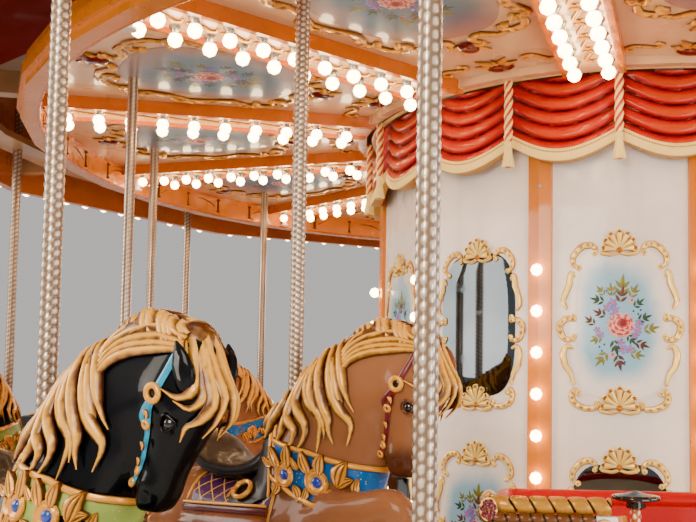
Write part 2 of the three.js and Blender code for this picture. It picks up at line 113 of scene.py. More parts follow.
def grid_faces(rows, columns, wrap_rows=False, wrap_columns=False):
    """Quads between neighbouring points of a grid that is numbered row by row."""
    i, j = np.meshgrid(
        np.arange(rows if wrap_rows else rows - 1),
        np.arange(columns if wrap_columns else columns - 1),
        indexing="ij",
    )
    up = (i + 1) % rows
    on = (j + 1) % columns
    return np.stack(
        [i * columns + j, i * columns + on, up * columns + on, up * columns + j],
        -1
    ).reshape(-1, 4)


def loft(rings, tone=0, relief=0.0):
    """Rings of points joined in order, with a pole at the middle of the first and of the last."""
    rings = np.asarray(rings, float)
    count, sides, _ = rings.shape
    ends = np.stack([rings[0].mean(0), rings[-1].mean(0)])
    points = np.vstack([rings.reshape(-1, 3), ends])
    j = np.arange(sides)
    on = (j + 1) % sides
    first = np.stack([np.full(sides, count * sides), on, j], -1)
    base = (count - 1) * sides
    last = np.stack([np.full(sides, count * sides + 1), base + j, base + on], -1)
    if np.ndim(relief):
        relief = np.append(np.asarray(relief, float).reshape(-1), [0.0, 0.0])
    return Surface(points, [grid_faces(count, sides, wrap_columns=True), first, last], tone, relief)


def turned(profile, sides=24, tone=0, relief=0.0):
    """A profile of radius and height, from the bottom to the top, turned round the Z axis and closed at both ends."""
    r, z = np.asarray(profile, float).T
    a = np.linspace(0, 2 * np.pi, sides, endpoint=False)
    rings = np.stack(
        [r[:, None] * np.cos(a), r[:, None] * np.sin(a), np.broadcast_to(z[:, None], (len(z), sides))], -1
    )
    return loft(rings, tone, relief)


def hoop(section, sides=72, tone=0, relief=0.7):
    """A closed section of radius and height pairs, anticlockwise, carried once round the Z axis."""
    r, z = np.asarray(section, float).T
    a = np.linspace(0, 2 * np.pi, sides, endpoint=False)
    points = np.stack(
        [np.cos(a)[:, None] * r, np.sin(a)[:, None] * r, np.broadcast_to(z, (sides, len(z)))], -1
    )
    return Surface(points, [grid_faces(sides, len(r), True, True)[:, ::-1]], tone, relief)


def round_section(radius, height, half_wide, half_deep, count=8):
    """An ellipse as a section for hoop."""
    a = np.linspace(0, 2 * np.pi, count, endpoint=False)
    return np.stack([radius + half_wide * np.cos(a), height + half_deep * np.sin(a)], -1)


def prism(outline, low, high, tone=0, flat=None):
    """An anticlockwise outline in X and Y pulled up from low to high."""
    outline = np.asarray(outline, float)
    n = len(outline)
    points = np.vstack([np.c_[outline, np.full(n, low)], np.c_[outline, np.full(n, high)]])
    j = np.arange(n)
    on = (j + 1) % n
    sides = np.stack([j, on, n + on, n + j], -1)
    return Surface(points, [sides, j[::-1][None], (n + j)[None]], tone, flat=flat)


def directions(path, up):
    """Tangent, side and normal at each point of a path: side is up cross tangent."""
    tangent = np.gradient(path, axis=0)
    tangent /= np.linalg.norm(tangent, axis=1)[:, None]
    side = np.cross(np.broadcast_to(up, path.shape), tangent)
    side /= np.maximum(np.linalg.norm(side, axis=1), 1e-9)[:, None]
    return tangent, side, np.cross(tangent, side)


def tube(path, wide, deep, sides=8, up=(0, 0, 1), tone=0, ridges=0.0, twist=0.0, strands=3):
    """An ellipse carried along a path: half width wide to the side and half depth deep along the normal.
    The section may have ridges, as many as there are strands, which twist by that many radians from end to end."""
    path = np.asarray(path, float)
    count = len(path)
    _, side, normal = directions(path, up)
    a = np.linspace(0, 2 * np.pi, sides, endpoint=False)
    run = np.linspace(0, 1, count)[:, None]
    swell = 1 + ridges * np.cos(strands * a + twist * run)
    wide = np.broadcast_to(wide, (count,))[:, None] * np.cos(a) * swell
    deep = np.broadcast_to(deep, (count,))[:, None] * np.sin(a) * swell
    rings = path[:, None] + side[:, None] * wide[..., None] + normal[:, None] * deep[..., None]
    # The value is 1 on the side that the normal points to and 0 round the back, or with ridges 1 on the ridges and 0 in
    # the grooves; relief_paint shows the low parts as painted shade.
    relief = np.clip(np.sin(a), 0, 1) * np.ones((count, 1))
    if ridges:
        relief = np.clip((swell - 1 + ridges) / (2 * ridges), 0, 1)
    return loft(rings, tone, relief)


def ball(radius, sides=10, rows=6, tone=0):
    """A globe: radius times the sine and the cosine of an angle from pole to pole."""
    a = np.linspace(0.12, np.pi - 0.12, rows)
    return turned(np.stack([radius * np.sin(a), -radius * np.cos(a)], -1), sides, tone)


def petal(sides=8, tone=0):
    """A low dome of unit radius, closed underneath, for small flat shapes."""
    return turned([(0.55, -0.3), (1.0, 0.0), (0.62, 0.75)], sides, tone, np.repeat([0.0, 0.2, 1.0], sides))


def spline(stops, count):
    """A Catmull-Rom curve through the stops, every column alike, at evenly spaced parameters."""
    s = np.asarray(stops, float)
    padded = np.vstack([2 * s[0] - s[1], s, 2 * s[-1] - s[-2]])
    t = np.linspace(0, len(s) - 1, count)
    i = np.minimum(t.astype(int), len(s) - 2)
    f = (t - i)[:, None]
    p0, p1, p2, p3 = padded[i], padded[i + 1], padded[i + 2], padded[i + 3]
    return 0.5 * (
        2 * p1 + (p2 - p0) * f + (2 * p0 - 5 * p1 + 4 * p2 - p3) * f**2 + (3 * p1 - p0 - 3 * p2 + p3) * f**3
    )


# Places


def spin(degrees, z=0.0):
    """A turn about the Z axis, with a lift."""
    a = math.radians(degrees)
    return np.array(
        [[math.cos(a), -math.sin(a), 0, 0], [math.sin(a), math.cos(a), 0, 0], [0, 0, 1, z], [0, 0, 0, 1.0]]
    )


def place(x=0.0, y=0.0, z=0.0, turn=0.0, size=(1, 1, 1)):
    """A scale, a turn about Z in degrees and a shift, in that order."""
    m = spin(turn) @ np.diag([*size, 1.0])
    m[:3, 3] = (x, y, z)
    return m


def axes(origin, x, y, z):
    """The matrix whose columns are the three axes and the origin."""
    m = np.eye(4)
    m[:3, 0], m[:3, 1], m[:3, 2], m[:3, 3] = x, y, z, origin
    return m


def wall(turn, distance, z):
    """A frame on an upright face that looks outwards: X to the right, Y up, Z out."""
    a = math.radians(turn)
    c, s = math.cos(a), math.sin(a)
    return axes((distance * c, distance * s, z), (-s, c, 0), (0, 0, 1), (c, s, 0))


def overhead(turn, distance, z):
    """A frame under the ceiling: X away from the axis, Z down."""
    a = math.radians(turn)
    c, s = math.cos(a), math.sin(a)
    return axes((distance * c, distance * s, z), (c, s, 0), (s, -c, 0), (0, 0, -1))


def ride_frame(turn, radius, z):
    """A ride's own frame: X along the travel, Y at the axis."""
    m = spin(turn + 90, z)
    m[0, 3] = radius * math.cos(math.radians(turn))
    m[1, 3] = radius * math.sin(math.radians(turn))
    return m


def ride_places(row):
    """The number and the frame of each ride of a row."""
    return [
        (k, ride_frame(row["first"] - 30 * k, row["radius"], DECK_TOP + row["lift"]))
        for k in row["places"]
    ]


def near(at):
    """Whether a ride stands where the photograph's camera sees it close by, so that it gets the finer meshes."""
    return math.dist(at[:2, 3], CAMERA_PLACE) < NEAR_REACH


def gathered(surfaces, matrix):
    """Each surface of a list, carried by one matrix."""
    return [s.moved(matrix) for s in surfaces]


# Pieces


def mesh_of(name, surfaces, materials, smooth=40.0):
    """One mesh from many surfaces, with their values as the attribute relief and their flat coordinates as a UV map."""
    points = np.concatenate([s.points for s in surfaces])
    loops, sizes, tones = [], [], []
    start = 0
    for s in surfaces:
        for f in s.faces:
            loops.append((f + start).ravel())
            sizes.append(np.full(len(f), f.shape[1]))
            tones.append(np.full(len(f), s.tone))
        start += len(s.points)
    loops = np.concatenate(loops).astype(np.int32)
    sizes = np.concatenate(sizes)
    mesh = bpy.data.meshes.new(name)
    mesh.vertices.add(len(points))
    mesh.vertices.foreach_set("co", points.astype(np.float32).ravel())
    mesh.loops.add(len(loops))
    mesh.loops.foreach_set("vertex_index", loops)
    mesh.polygons.add(len(sizes))
    mesh.polygons.foreach_set("loop_start", np.concatenate([[0], np.cumsum(sizes)[:-1]]).astype(np.int32))
    mesh.polygons.foreach_set("material_index", np.concatenate(tones).astype(np.int32))
    mesh.update(calc_edges=True)
    relief = mesh.attributes.new("relief", "FLOAT", "POINT")
    relief.data.foreach_set("value", np.concatenate([s.relief for s in surfaces]).astype(np.float32))
    flat = np.concatenate([s.flat for s in surfaces])
    if flat.any():
        mesh.uv_layers.new(name="flat").uv.foreach_set("vector", flat[loops].astype(np.float32).ravel())
    for material in materials:
        mesh.materials.append(material)
    mesh.shade_smooth()
    mesh.set_sharp_from_angle(angle=math.radians(smooth))
    return mesh


def read(items, key, width=1, kind=float):
    """A property of all items of a mesh as an array, with a row for each item where the width is over 1."""
    values = np.empty(len(items) * width, kind)
    items.foreach_get(key, values)
    return values.reshape(-1, width) if width > 1 else values


def rough_object(surfaces):
    """A short-lived object to run modifiers on."""
    made = bpy.data.objects.new("rough", mesh_of("rough", surfaces, []))
    bpy.context.scene.collection.objects.link(made)
    return made


def result_of(made):
    """The mesh that an object's modifiers give; the object is removed."""
    mesh = bpy.data.meshes.new_from_object(made.evaluated_get(bpy.context.evaluated_depsgraph_get()))
    bpy.data.objects.remove(made)
    return mesh


def thinned(surfaces, share, least=36):
    """The same surfaces with about that share of their triangles left, by collapsing edges; none gets fewer than
    the least."""
    rough = []
    for s in surfaces:
        count = sum(len(f) * (f.shape[1] - 2) for f in s.faces)
        rough.append(rough_object([s]))
        rough[-1].modifiers.new("fewer", "DECIMATE").ratio = min(1.0, max(share, least / count))
    graph = bpy.context.evaluated_depsgraph_get()
    meshes = [bpy.data.meshes.new_from_object(made.evaluated_get(graph)) for made in rough]
    found = []
    for s, made, mesh in zip(surfaces, rough, meshes):
        bpy.data.objects.remove(made)
        mesh.calc_loop_triangles()
        faces = read(mesh.loop_triangles, "vertices", 3, np.int32)
        relief = read(mesh.attributes["relief"].data, "value")
        flat = None
        if mesh.uv_layers:
            flat = np.zeros((len(mesh.vertices), 2))
            flat[read(mesh.loops, "vertex_index", 1, np.int32)] = read(mesh.uv_layers[0].uv, "vector", 2)
        found.append(Surface(read(mesh.vertices, "co", 3), [faces], s.tone, relief, flat))
    return found


def piece(name, surfaces, materials, body, nodes=(), smooth=40.0):
    """A finished piece: its mesh, the body that carries it and the nodes that it stands for."""
    made = bpy.data.objects.new(name, mesh_of(name, surfaces, materials, smooth))
    bpy.context.scene.collection.objects.link(made)
    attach(made, body)
    if nodes:
        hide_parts(*nodes)
    return made


# Materials


def linear(text):
    """A colour written as six hexadecimal digits, in the linear values that Blender keeps."""
    parts = np.array([int(text[i : i + 2], 16) for i in (0, 2, 4)]) / 255
    return tuple(np.where(parts <= 0.04045, parts / 12.92, ((parts + 0.055) / 1.055) ** 2.4))


def shade(colour, factor):
    """A lighter or darker tone of a colour."""
    return tuple(min(1.0, c * factor) for c in colour)


class Finish:
    """Builds one procedural material on a Principled shader."""

    def __init__(self, name, roughness=0.3, metallic=0.0, coat=0.0):
        self.material = bpy.data.materials.new(name)
        self.material.use_nodes = True
        self.tree = self.material.node_tree
        self.shader = self.tree.nodes["Principled BSDF"]
        self.shader.inputs["Roughness"].default_value = roughness
        self.shader.inputs["Metallic"].default_value = metallic
        self.shader.inputs["Coat Weight"].default_value = coat
        self.shader.inputs["Specular IOR Level"].default_value = 0.25
        self.shader.inputs["Coat Roughness"].default_value = 0.06

    def node(self, kind, inputs=(), **settings):
        """A node with its settings, and its inputs by position or name: a socket is linked and a value is set."""
        made = self.tree.nodes.new(kind)
        for key, value in settings.items():
            setattr(made, key, value)
        for key, value in dict(inputs).items():
            if isinstance(value, bpy.types.NodeSocket):
                self.tree.links.new(value, made.inputs[key])
            else:
                made.inputs[key].default_value = value
        return made

    def place(self, scale=(1, 1, 1)):
        """Object coordinates, stretched."""
        at = self.node("ShaderNodeTexCoord").outputs["Object"]
        return self.node("ShaderNodeMapping", {"Vector": at, "Scale": scale}).outputs[0]

    def noise(self, scale, detail=3.0, stretch=(1, 1, 1)):
        """Noise over the piece, from 0 to 1."""
        return self.node(
            "ShaderNodeTexNoise", {"Vector": self.place(stretch), "Scale": scale, "Detail": detail}
        ).outputs["Fac"]

    def value(self, name):
        """A value kept with the points."""
        return self.node("ShaderNodeAttribute", attribute_name=name).outputs["Fac"]

    def math(self, operation, *values):
        """A sum on sockets and numbers."""
        return self.node("ShaderNodeMath", dict(enumerate(values)), operation=operation).outputs[0]

    def ramp(self, value, low, high, start=0.0, end=1.0):
        """A value brought from the range low..high to start..end, and kept there."""
        return self.node(
            "ShaderNodeMapRange", {0: value, 1: low, 2: high, 3: start, 4: end},
            interpolation_type="SMOOTHSTEP"
        ).outputs[0]

    def mix(self, factor, first, second):
        """One colour turning into another."""
        rgba = [c if isinstance(c, bpy.types.NodeSocket) else (*c, 1.0) for c in (first, second)]
        return self.node("ShaderNodeMix", {0: factor, 6: rgba[0], 7: rgba[1]}, data_type="RGBA").outputs[2]

    def colour(self, socket):
        """The base colour."""
        self.tree.links.new(socket, self.shader.inputs["Base Color"])
        return self

    def rough(self, socket):
        """The roughness."""
        self.tree.links.new(socket, self.shader.inputs["Roughness"])
        return self

    def bump(self, height, strength, distance):
        """Dents from a height."""
        made = self.node("ShaderNodeBump", {"Height": height, "Strength": strength, "Distance": distance})
        self.tree.links.new(made.outputs[0], self.shader.inputs["Normal"])
        return self

    def glow(self, colour, strength):
        """Light given off, the same all over."""
        self.shader.inputs["Emission Color"].default_value = (*colour, 1.0)
        self.shader.inputs["Emission Strength"].default_value = strength
        return self


def gloss_paint(name, colour, roughness=0.22, tone_mix=0.86, scale=5.0, ripple=0.12, coat=0.5):
    """Brushed gloss paint: soft clouds between the colour and a darker tone, brush ripples and duller patches."""
    f = Finish(name, coat=coat)
    clouds = f.ramp(f.noise(scale, 5), 0.35, 0.7)
    f.colour(f.mix(clouds, colour, shade(colour, tone_mix)))
    f.rough(f.ramp(f.noise(scale * 3, 4), 0.3, 0.75, roughness, roughness + 0.14))
    return f.bump(f.noise(60, 2, (1, 1, 0.15)), ripple, 0.0015).material


def relief_paint(name, low, high, roughness=0.28, metallic=0.35, pit=0.25, spread=(0.1, 0.85)):
    """Carving in two paints: the low colour in the hollows and the high colour on the raised parts. On gilt carving,
    manes, ropes and gadroons the low colour is painted shade, and on gilt and manes the high colour is a painted
    highlight.
    """
    f = Finish(name, metallic=metallic, coat=0.35)
    height = f.math(
        "ADD", f.value("relief"),
        f.math("MULTIPLY", f.math("SUBTRACT", f.noise(55, 4), 0.5), 0.5)
    )
    f.colour(f.mix(f.ramp(height, *spread), low, high))
    f.rough(f.ramp(f.noise(30, 3), 0.3, 0.7, roughness, roughness + 0.15))
    return f.bump(f.noise(90, 3), pit, 0.001).material


def dress(node, *materials):
    """Gives a solid its finish."""
    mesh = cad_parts[node].data
    mesh.materials.clear()
    for material in materials:
        mesh.materials.append(material)


# Ornament


def dome(outline, heights, tone=0, ribs=0.0, lobes=0):
    """A closed low relief: an outline shrunk in steps towards its middle while it rises, each step a pair of a share
    and a height. Ribs raise it where the cosine of the angle times the number of lobes is high."""
    outline = np.asarray(outline, float)
    middle = outline.mean(0)
    angle = np.arctan2(*(outline - middle).T[::-1])
    rings, relief = [], []
    top = max(h for _, h in heights)
    for share, height in heights:
        wave = np.cos(lobes * angle)
        z = height * (1 + ribs * wave)
        rings.append(np.c_[middle + (outline - middle) * share, z])
        # The value follows the height and the ribs, so relief_paint shows the low edge and the hollows between the ribs
        # as painted shade.
        relief.append(
            np.clip(height / top * (0.6 + 0.4 * wave if lobes else 1) * np.ones(len(outline)), 0, 1)
        )
    return loft(rings, tone, np.array(relief))


def shell(width, height, lobes=7, depth=0.012, tone=0):
    """A scallop: lobes that spread from its foot like a half fan, each ending in a hollow cup, over two curled feet."""
    parts = []
    foot = np.array([0.0, -0.26 * height])
    # The cup's value goes below 0 inside it: painted shade in its hollow.
    cup = turned([(0.6, -0.4), (1.0, 0.0), (0.94, 0.75), (0.70, 0.9), (0.46, 0.25)], 12, tone,
                 np.repeat([0.4, 0.7, 1.0, 0.75, -0.6], 12))
    for a in np.radians(np.linspace(4, 176, lobes)):
        way = np.array([np.cos(a), np.sin(a)])
        reach = 0.5 / math.sqrt((way[0] / width) ** 2 + (0.58 * way[1] / height) ** 2)
        run = np.linspace(0.12, 0.80, 8)
        path = np.c_[foot + reach * run[:, None] * way, depth * (0.45 + 0.45 * np.sin(2.2 * run))]
        size = 1.10 * width / (lobes + 1)
        wide = 0.78 * size * (0.16 + 0.84 * run / 0.8)
        parts.append(tube(path, wide, 0.5 * wide, 8, tone=tone))
        tip = foot + 0.84 * reach * way
        parts.append(cup.moved(place(*tip, 0.75 * depth, size=(0.70 * size, 0.70 * size, 0.45 * size))))
    for side in (-1, 1):
        stops = np.array(
            [(0.02, -0.40), (0.16, -0.47), (0.36, -0.47), (0.50, -0.38), (0.46, -0.27), (0.38, -0.30)]
        )
        path = np.c_[spline(stops * (side * width, height), 22), np.full(22, 0.5 * depth)]
        thick = 0.050 * width * (0.75 + 0.35 * np.sin(np.linspace(0.3, np.pi, 22)))
        parts.append(outward(tube(path, thick, thick, 8, tone=tone)))
    parts.append(ball(0.085 * width, 10, 6, tone).moved(place(0, -0.30 * height, 0.75 * depth)))
    return parts


def scroll(stops, wide, deep=0.009, ends=(1.0, 1.0), ribs=0, count=24, tone=0):
    """A raised scroll along a curve through the stops: thickest at the middle and thin at the ends, with a round
    boss on each end, and with as many ribs as are asked for across it."""
    count = max(count, 5 * ribs + 4)
    path = np.c_[spline(stops, count), np.full(count, 0.3 * deep)]
    run = np.linspace(0, 1, count)
    taper = 0.42 + 0.58 * np.sin(np.pi * run) ** 0.8
    beat = 1 + (0.26 * np.cos(2 * np.pi * ribs * run) * np.sin(np.pi * run) if ribs else 0)
    made = tube(path, wide * taper, deep * (0.6 + 0.4 * taper) * beat, 8, tone=tone)
    if ribs:
        # Between the ribs the top line of the scroll gets low values: painted shade in the grooves across it.
        waves = np.repeat(0.5 + 0.5 * np.cos(2 * np.pi * ribs * run), 8)
        slots = np.where(np.tile(np.arange(8) == 2, count), np.clip(1.5 * waves - 0.1, 0, 1), 1.0)
        made.relief = np.append(made.relief[:-2] * slots, [0, 0])
    parts = [made]
    for end, size in ((0, ends[0]), (-1, ends[1])):
        if size:
            # The boss's value is high on its shoulder and low in its dimple, painted shade there.
            boss = turned([(0.5, -0.5), (1.0, 0.0), (0.86, 0.62), (0.42, 0.86), (0.16, 0.62)], 10, tone,
                          np.repeat([0.3, 0.35, 0.9, 0.8, 0.1], 10))
            at = 0.72 * wide * size
            parts.append(boss.moved(place(*path[end], size=(at, at, at))))
    return parts


def mirrored(surfaces):
    """The surfaces and the same ones on the other side of the upright axis."""
    return surfaces + gathered(surfaces, np.diag([-1.0, 1, 1, 1]))


def core_scrolls():
    """The carved frame of one core picture, 0.42 m wide and 0.65 m high, round its middle."""
    mm = 0.001
    right = []
    right += scroll(
        np.array([(88, 247), (84, 262), (104, 279), (137, 272), (165, 240), (167, 210), (148, 196)]) * mm,
        0.0125, ends=(1.25, 1.35), ribs=9
    )
    right += scroll(
        np.array([(166, 166), (170, 178), (178, 165), (181, 135), (196, 100), (203, 70), (190, 46)]) * mm,
        0.0125, ends=(1.0, 0.6)
    )
    right += scroll(
        np.array(
            [(166, 20), (163, 6), (188, 10), (212, -8), (215, -35), (198, -64), (168, -68), (163, -56)]
        ) * mm,
        0.0125, ends=(1.25, 1.25), ribs=9
    )
    right += scroll(
        np.array([(168, -98), (190, -92), (203, -118), (196, -160), (176, -190), (166, -226)]) * mm,
        0.0125, ends=(0.5, 1.0)
    )
    right += scroll(
        np.array(
            [(148, -262), (160, -250), (172, -272), (160, -300), (122, -317), (84, -314), (79, -298)]
        ) * mm,
        0.0125, ends=(1.35, 1.25), ribs=9
    )
    return gathered(mirrored(right), place(size=(0.925, 0.945, 1)))


def rounded_outline(half_wide, half_high, power=3.0, count=48):
    """A superellipse: the sine and cosine of an angle, each to the power two over the given power."""
    a = np.linspace(0, 2 * np.pi, count, endpoint=False)
    c, s = np.cos(a), np.sin(a)
    e = 2 / power
    return np.stack([half_wide * np.sign(c) * np.abs(c) ** e, half_high * np.sign(s) * np.abs(s) ** e], -1)


def plate(outline, thick, tone=0, rings=5):
    """A flat plate whose value falls from 1 at its middle to 0 at its edge."""
    outline = np.asarray(outline, float)
    shares = np.concatenate([[1.0, 1.0], np.linspace(0.97, 0.06, rings)])
    heights = np.concatenate([[-0.0005, 0.7 * thick], np.full(rings, thick)])
    made = [np.c_[outline * s, np.full(len(outline), h)] for s, h in zip(shares, heights)]
    values = np.repeat(1 - shares, len(outline))
    result = loft(made, tone, values)
    result.relief[-1] = 1.0
    return result


def leaf(tone):
    """A pointed leaf of unit length from its stalk, low and closed."""
    t = np.linspace(0, 1, 7)
    w = 0.23 * np.sin(np.pi * t**0.8) + 0.01
    outline = np.vstack([np.c_[t, -w], np.c_[t[::-1], w[::-1]]])
    return dome(outline, [(1.0, -0.3), (0.9, 0.5), (0.3, 1.0)], tone)


def fluted_leaf(tone):
    """A carved leaf of unit length from its stalk: three flutes run along it and its tip turns up."""
    u, v = np.linspace(0, 1, 11), np.linspace(-1, 1, 13)
    wide = 0.25 * np.sin(np.pi * u**0.75) ** 0.8 + 0.012
    flute = 0.5 + 0.5 * np.cos(3 * np.pi * v)
    z = 0.45 + 0.75 * np.sqrt(1 - 0.94 * v**2) * (0.55 + 0.45 * flute) + 0.5 * u[:, None] ** 3
    top = np.stack(
        [np.broadcast_to(u[:, None], z.shape), wide[:, None] * v + 0.10 * np.sin(np.pi * u[:, None]), z],
        -1
    )
    under = top[:, ::-1] * (1, 1, 0) + (0, 0, -0.3)
    rings = np.concatenate([top, under], 1)
    shade_of = np.concatenate([np.broadcast_to(0.15 + 0.85 * flute, z.shape), np.zeros_like(z)], 1)
    return outward(loft(rings, tone, shade_of))


ROSE_PALE, ROSE_PINK, ROSE_DEEP, VIOLET, YOLK, BLUE, OLIVE, GREEN, BROWN = range(9)


def rose(size):
    """Rings of round petals, paler outwards, each ring a smaller circle of overlapping discs."""
    parts = []
    rings = (
        (1.0, 11, 0.34, ROSE_PALE), (0.90, 9, 0.30, ROSE_PINK), (0.74, 9, 0.32, ROSE_PALE),
        (0.60, 7, 0.28, ROSE_PINK), (0.44, 7, 0.28, ROSE_PALE), (0.34, 5, 0.26, ROSE_PINK),
        (0.16, 5, 0.24, ROSE_DEEP)
    )
    for level, (reach, count, width, tone) in enumerate(rings):
        for k in range(count):
            a = 2 * np.pi * k / count + 0.4 * level
            parts.append(
                petal(8, tone).moved(
                    place(
                        0.72 * size * reach * np.cos(a) + 0.0012 * level,
                        0.66 * size * reach * np.sin(a) + 0.0016 * level, 0.0002 * (level + 1),
                        np.degrees(a), (width * size * 0.8, width * size, 0.0005)
                    )
                )
            )
    return parts


def small_flower(x, y, size, turn=0.0):
    """Five violet petals round an orange middle."""
    parts = []
    for k in range(5):
        a = math.radians(turn + 72 * k)
        parts.append(petal(8, VIOLET).moved(place(
            x + 0.62 * size * math.cos(a), y + 0.62 * size * math.sin(a), 0.0004, math.degrees(a),
            (0.46 * size, 0.34 * size, 0.0005))))
    parts.append(petal(8, YOLK).moved(place(x, y, 0.0009, 0, (0.3 * size, 0.3 * size, 0.0006))))
    return parts


def spray(x, y, turn, length, tone, pairs=2):
    """Leaves in pairs along a short stalk, with one at its end."""
    parts = []
    c, s = math.cos(math.radians(turn)), math.sin(math.radians(turn))
    for k in range(pairs):
        at = 0.3 * length * k
        for side in (-1, 1):
            parts.append(leaf(tone).moved(place(
                x + at * c, y + at * s, 0.0002, turn + side * 42, (0.5 * length, 0.36 * length, 0.0005))))
    parts.append(leaf(tone).moved(place(
        x + 0.25 * length * c, y + 0.25 * length * s, 0.0003, turn, (0.75 * length, 0.42 * length, 0.0005))))
    return parts


def bouquet():
    """A painted bunch round its middle: one rose, violet flowers, dots and sprays of leaves, 0.23 by 0.32 m."""
    parts = []
    sprays = (
        (0.006, 0.095, 84, 0.060, OLIVE), (-0.024, 0.092, 100, 0.040, OLIVE),
        (0.040, 0.088, 62, 0.042, OLIVE), (-0.054, 0.096, 128, 0.034, OLIVE),
        (-0.055, 0.072, 165, 0.040, GREEN), (-0.050, 0.020, 155, 0.038, BROWN),
        (-0.088, -0.012, 140, 0.036, BROWN), (0.066, 0.004, 20, 0.040, GREEN),
        (0.086, -0.032, 12, 0.044, OLIVE), (0.058, -0.078, -20, 0.040, BROWN),
        (0.040, -0.118, -10, 0.040, OLIVE), (-0.020, -0.070, -75, 0.046, GREEN),
        (-0.046, -0.116, -128, 0.048, OLIVE), (-0.062, -0.058, -158, 0.038, OLIVE),
        (-0.006, -0.124, -78, 0.046, BROWN), (0.002, 0.070, 78, 0.050, BROWN),
        (0.052, 0.052, 40, 0.036, GREEN), (0.030, -0.052, -50, 0.036, GREEN),
    )
    for x, y, turn, length, tone in sprays:
        parts += spray(0.94 * x, 0.94 * y, turn, 1.28 * length, tone)
    parts += gathered(rose(0.048), place(0.004, -0.014, 0.0003))
    for x, y, size in (
        (-0.022, 0.064, 0.017), (-0.040, 0.046, 0.016), (-0.014, 0.040, 0.016), (-0.020, 0.018, 0.015),
        (0.064, -0.008, 0.016), (0.060, -0.030, 0.017), (0.052, -0.048, 0.015), (-0.062, -0.046, 0.014),
        (-0.074, -0.030, 0.013), (0.004, -0.074, 0.016), (0.012, -0.096, 0.017), (0.034, -0.096, 0.017)
    ):
        parts += small_flower(x, y, size, 1000 * (x + y))
    for x, y in (
        (0.046, 0.034), (0.062, 0.024), (0.070, 0.038), (-0.042, 0.104), (-0.026, 0.096), (-0.008, 0.104),
        (-0.066, -0.088), (-0.050, -0.080), (-0.058, -0.102), (0.018, -0.140), (0.006, -0.148),
        (0.002, -0.126)
    ):
        parts.append(petal(8, BLUE).moved(place(x, y, 0.0004, 0, (0.0036, 0.0044, 0.0006))))
    for x, y in ((0.038, 0.070), (-0.026, -0.116)):
        parts.append(petal(8, ROSE_PALE).moved(place(x, y, 0.0006, 60, (0.011, 0.007, 0.0007))))
        parts.append(
            petal(8, ROSE_PINK).moved(place(x + 0.003, y + 0.002, 0.001, 60, (0.006, 0.004, 0.0006)))
        )
    return parts


def flower_paints():
    """The paints of the painted flowers, in the order of their numbers."""
    tones = ("F4A8A0", "C83430", "840810", "8E78D8", "D87C10", "103C98", "80801C", "24481A", "5E2C0C")
    names = (
        "rose_pale", "rose_pink", "rose_deep", "violet", "yolk", "dot_blue", "leaf_olive", "leaf_green",
        "leaf_brown"
    )
    return [gloss_paint(f"flower_{n}", linear(t), 0.35, 0.7, 40, 0.05, 0.2) for n, t in zip(names, tones)]


def lamp(radius, socket, drop):
    """One bulb: a globe, and the ring that holds it, along the Z axis."""
    globe = ball(radius, 8, 5, 0).moved(place(0, 0, drop))
    cup = turned([(socket, 0.0), (socket * 1.12, 0.004), (socket * 0.9, 0.012)], 8, 1)
    return globe, cup


# Core


def core_faces():
    """Each panel's turn and the height of its painted picture and of its mirror, in turn upper and lower."""
    return [(-90 - 30 * k, (1.656, 0.915) if k % 2 == 0 else (0.915, 1.656)) for k in range(SIDES)]


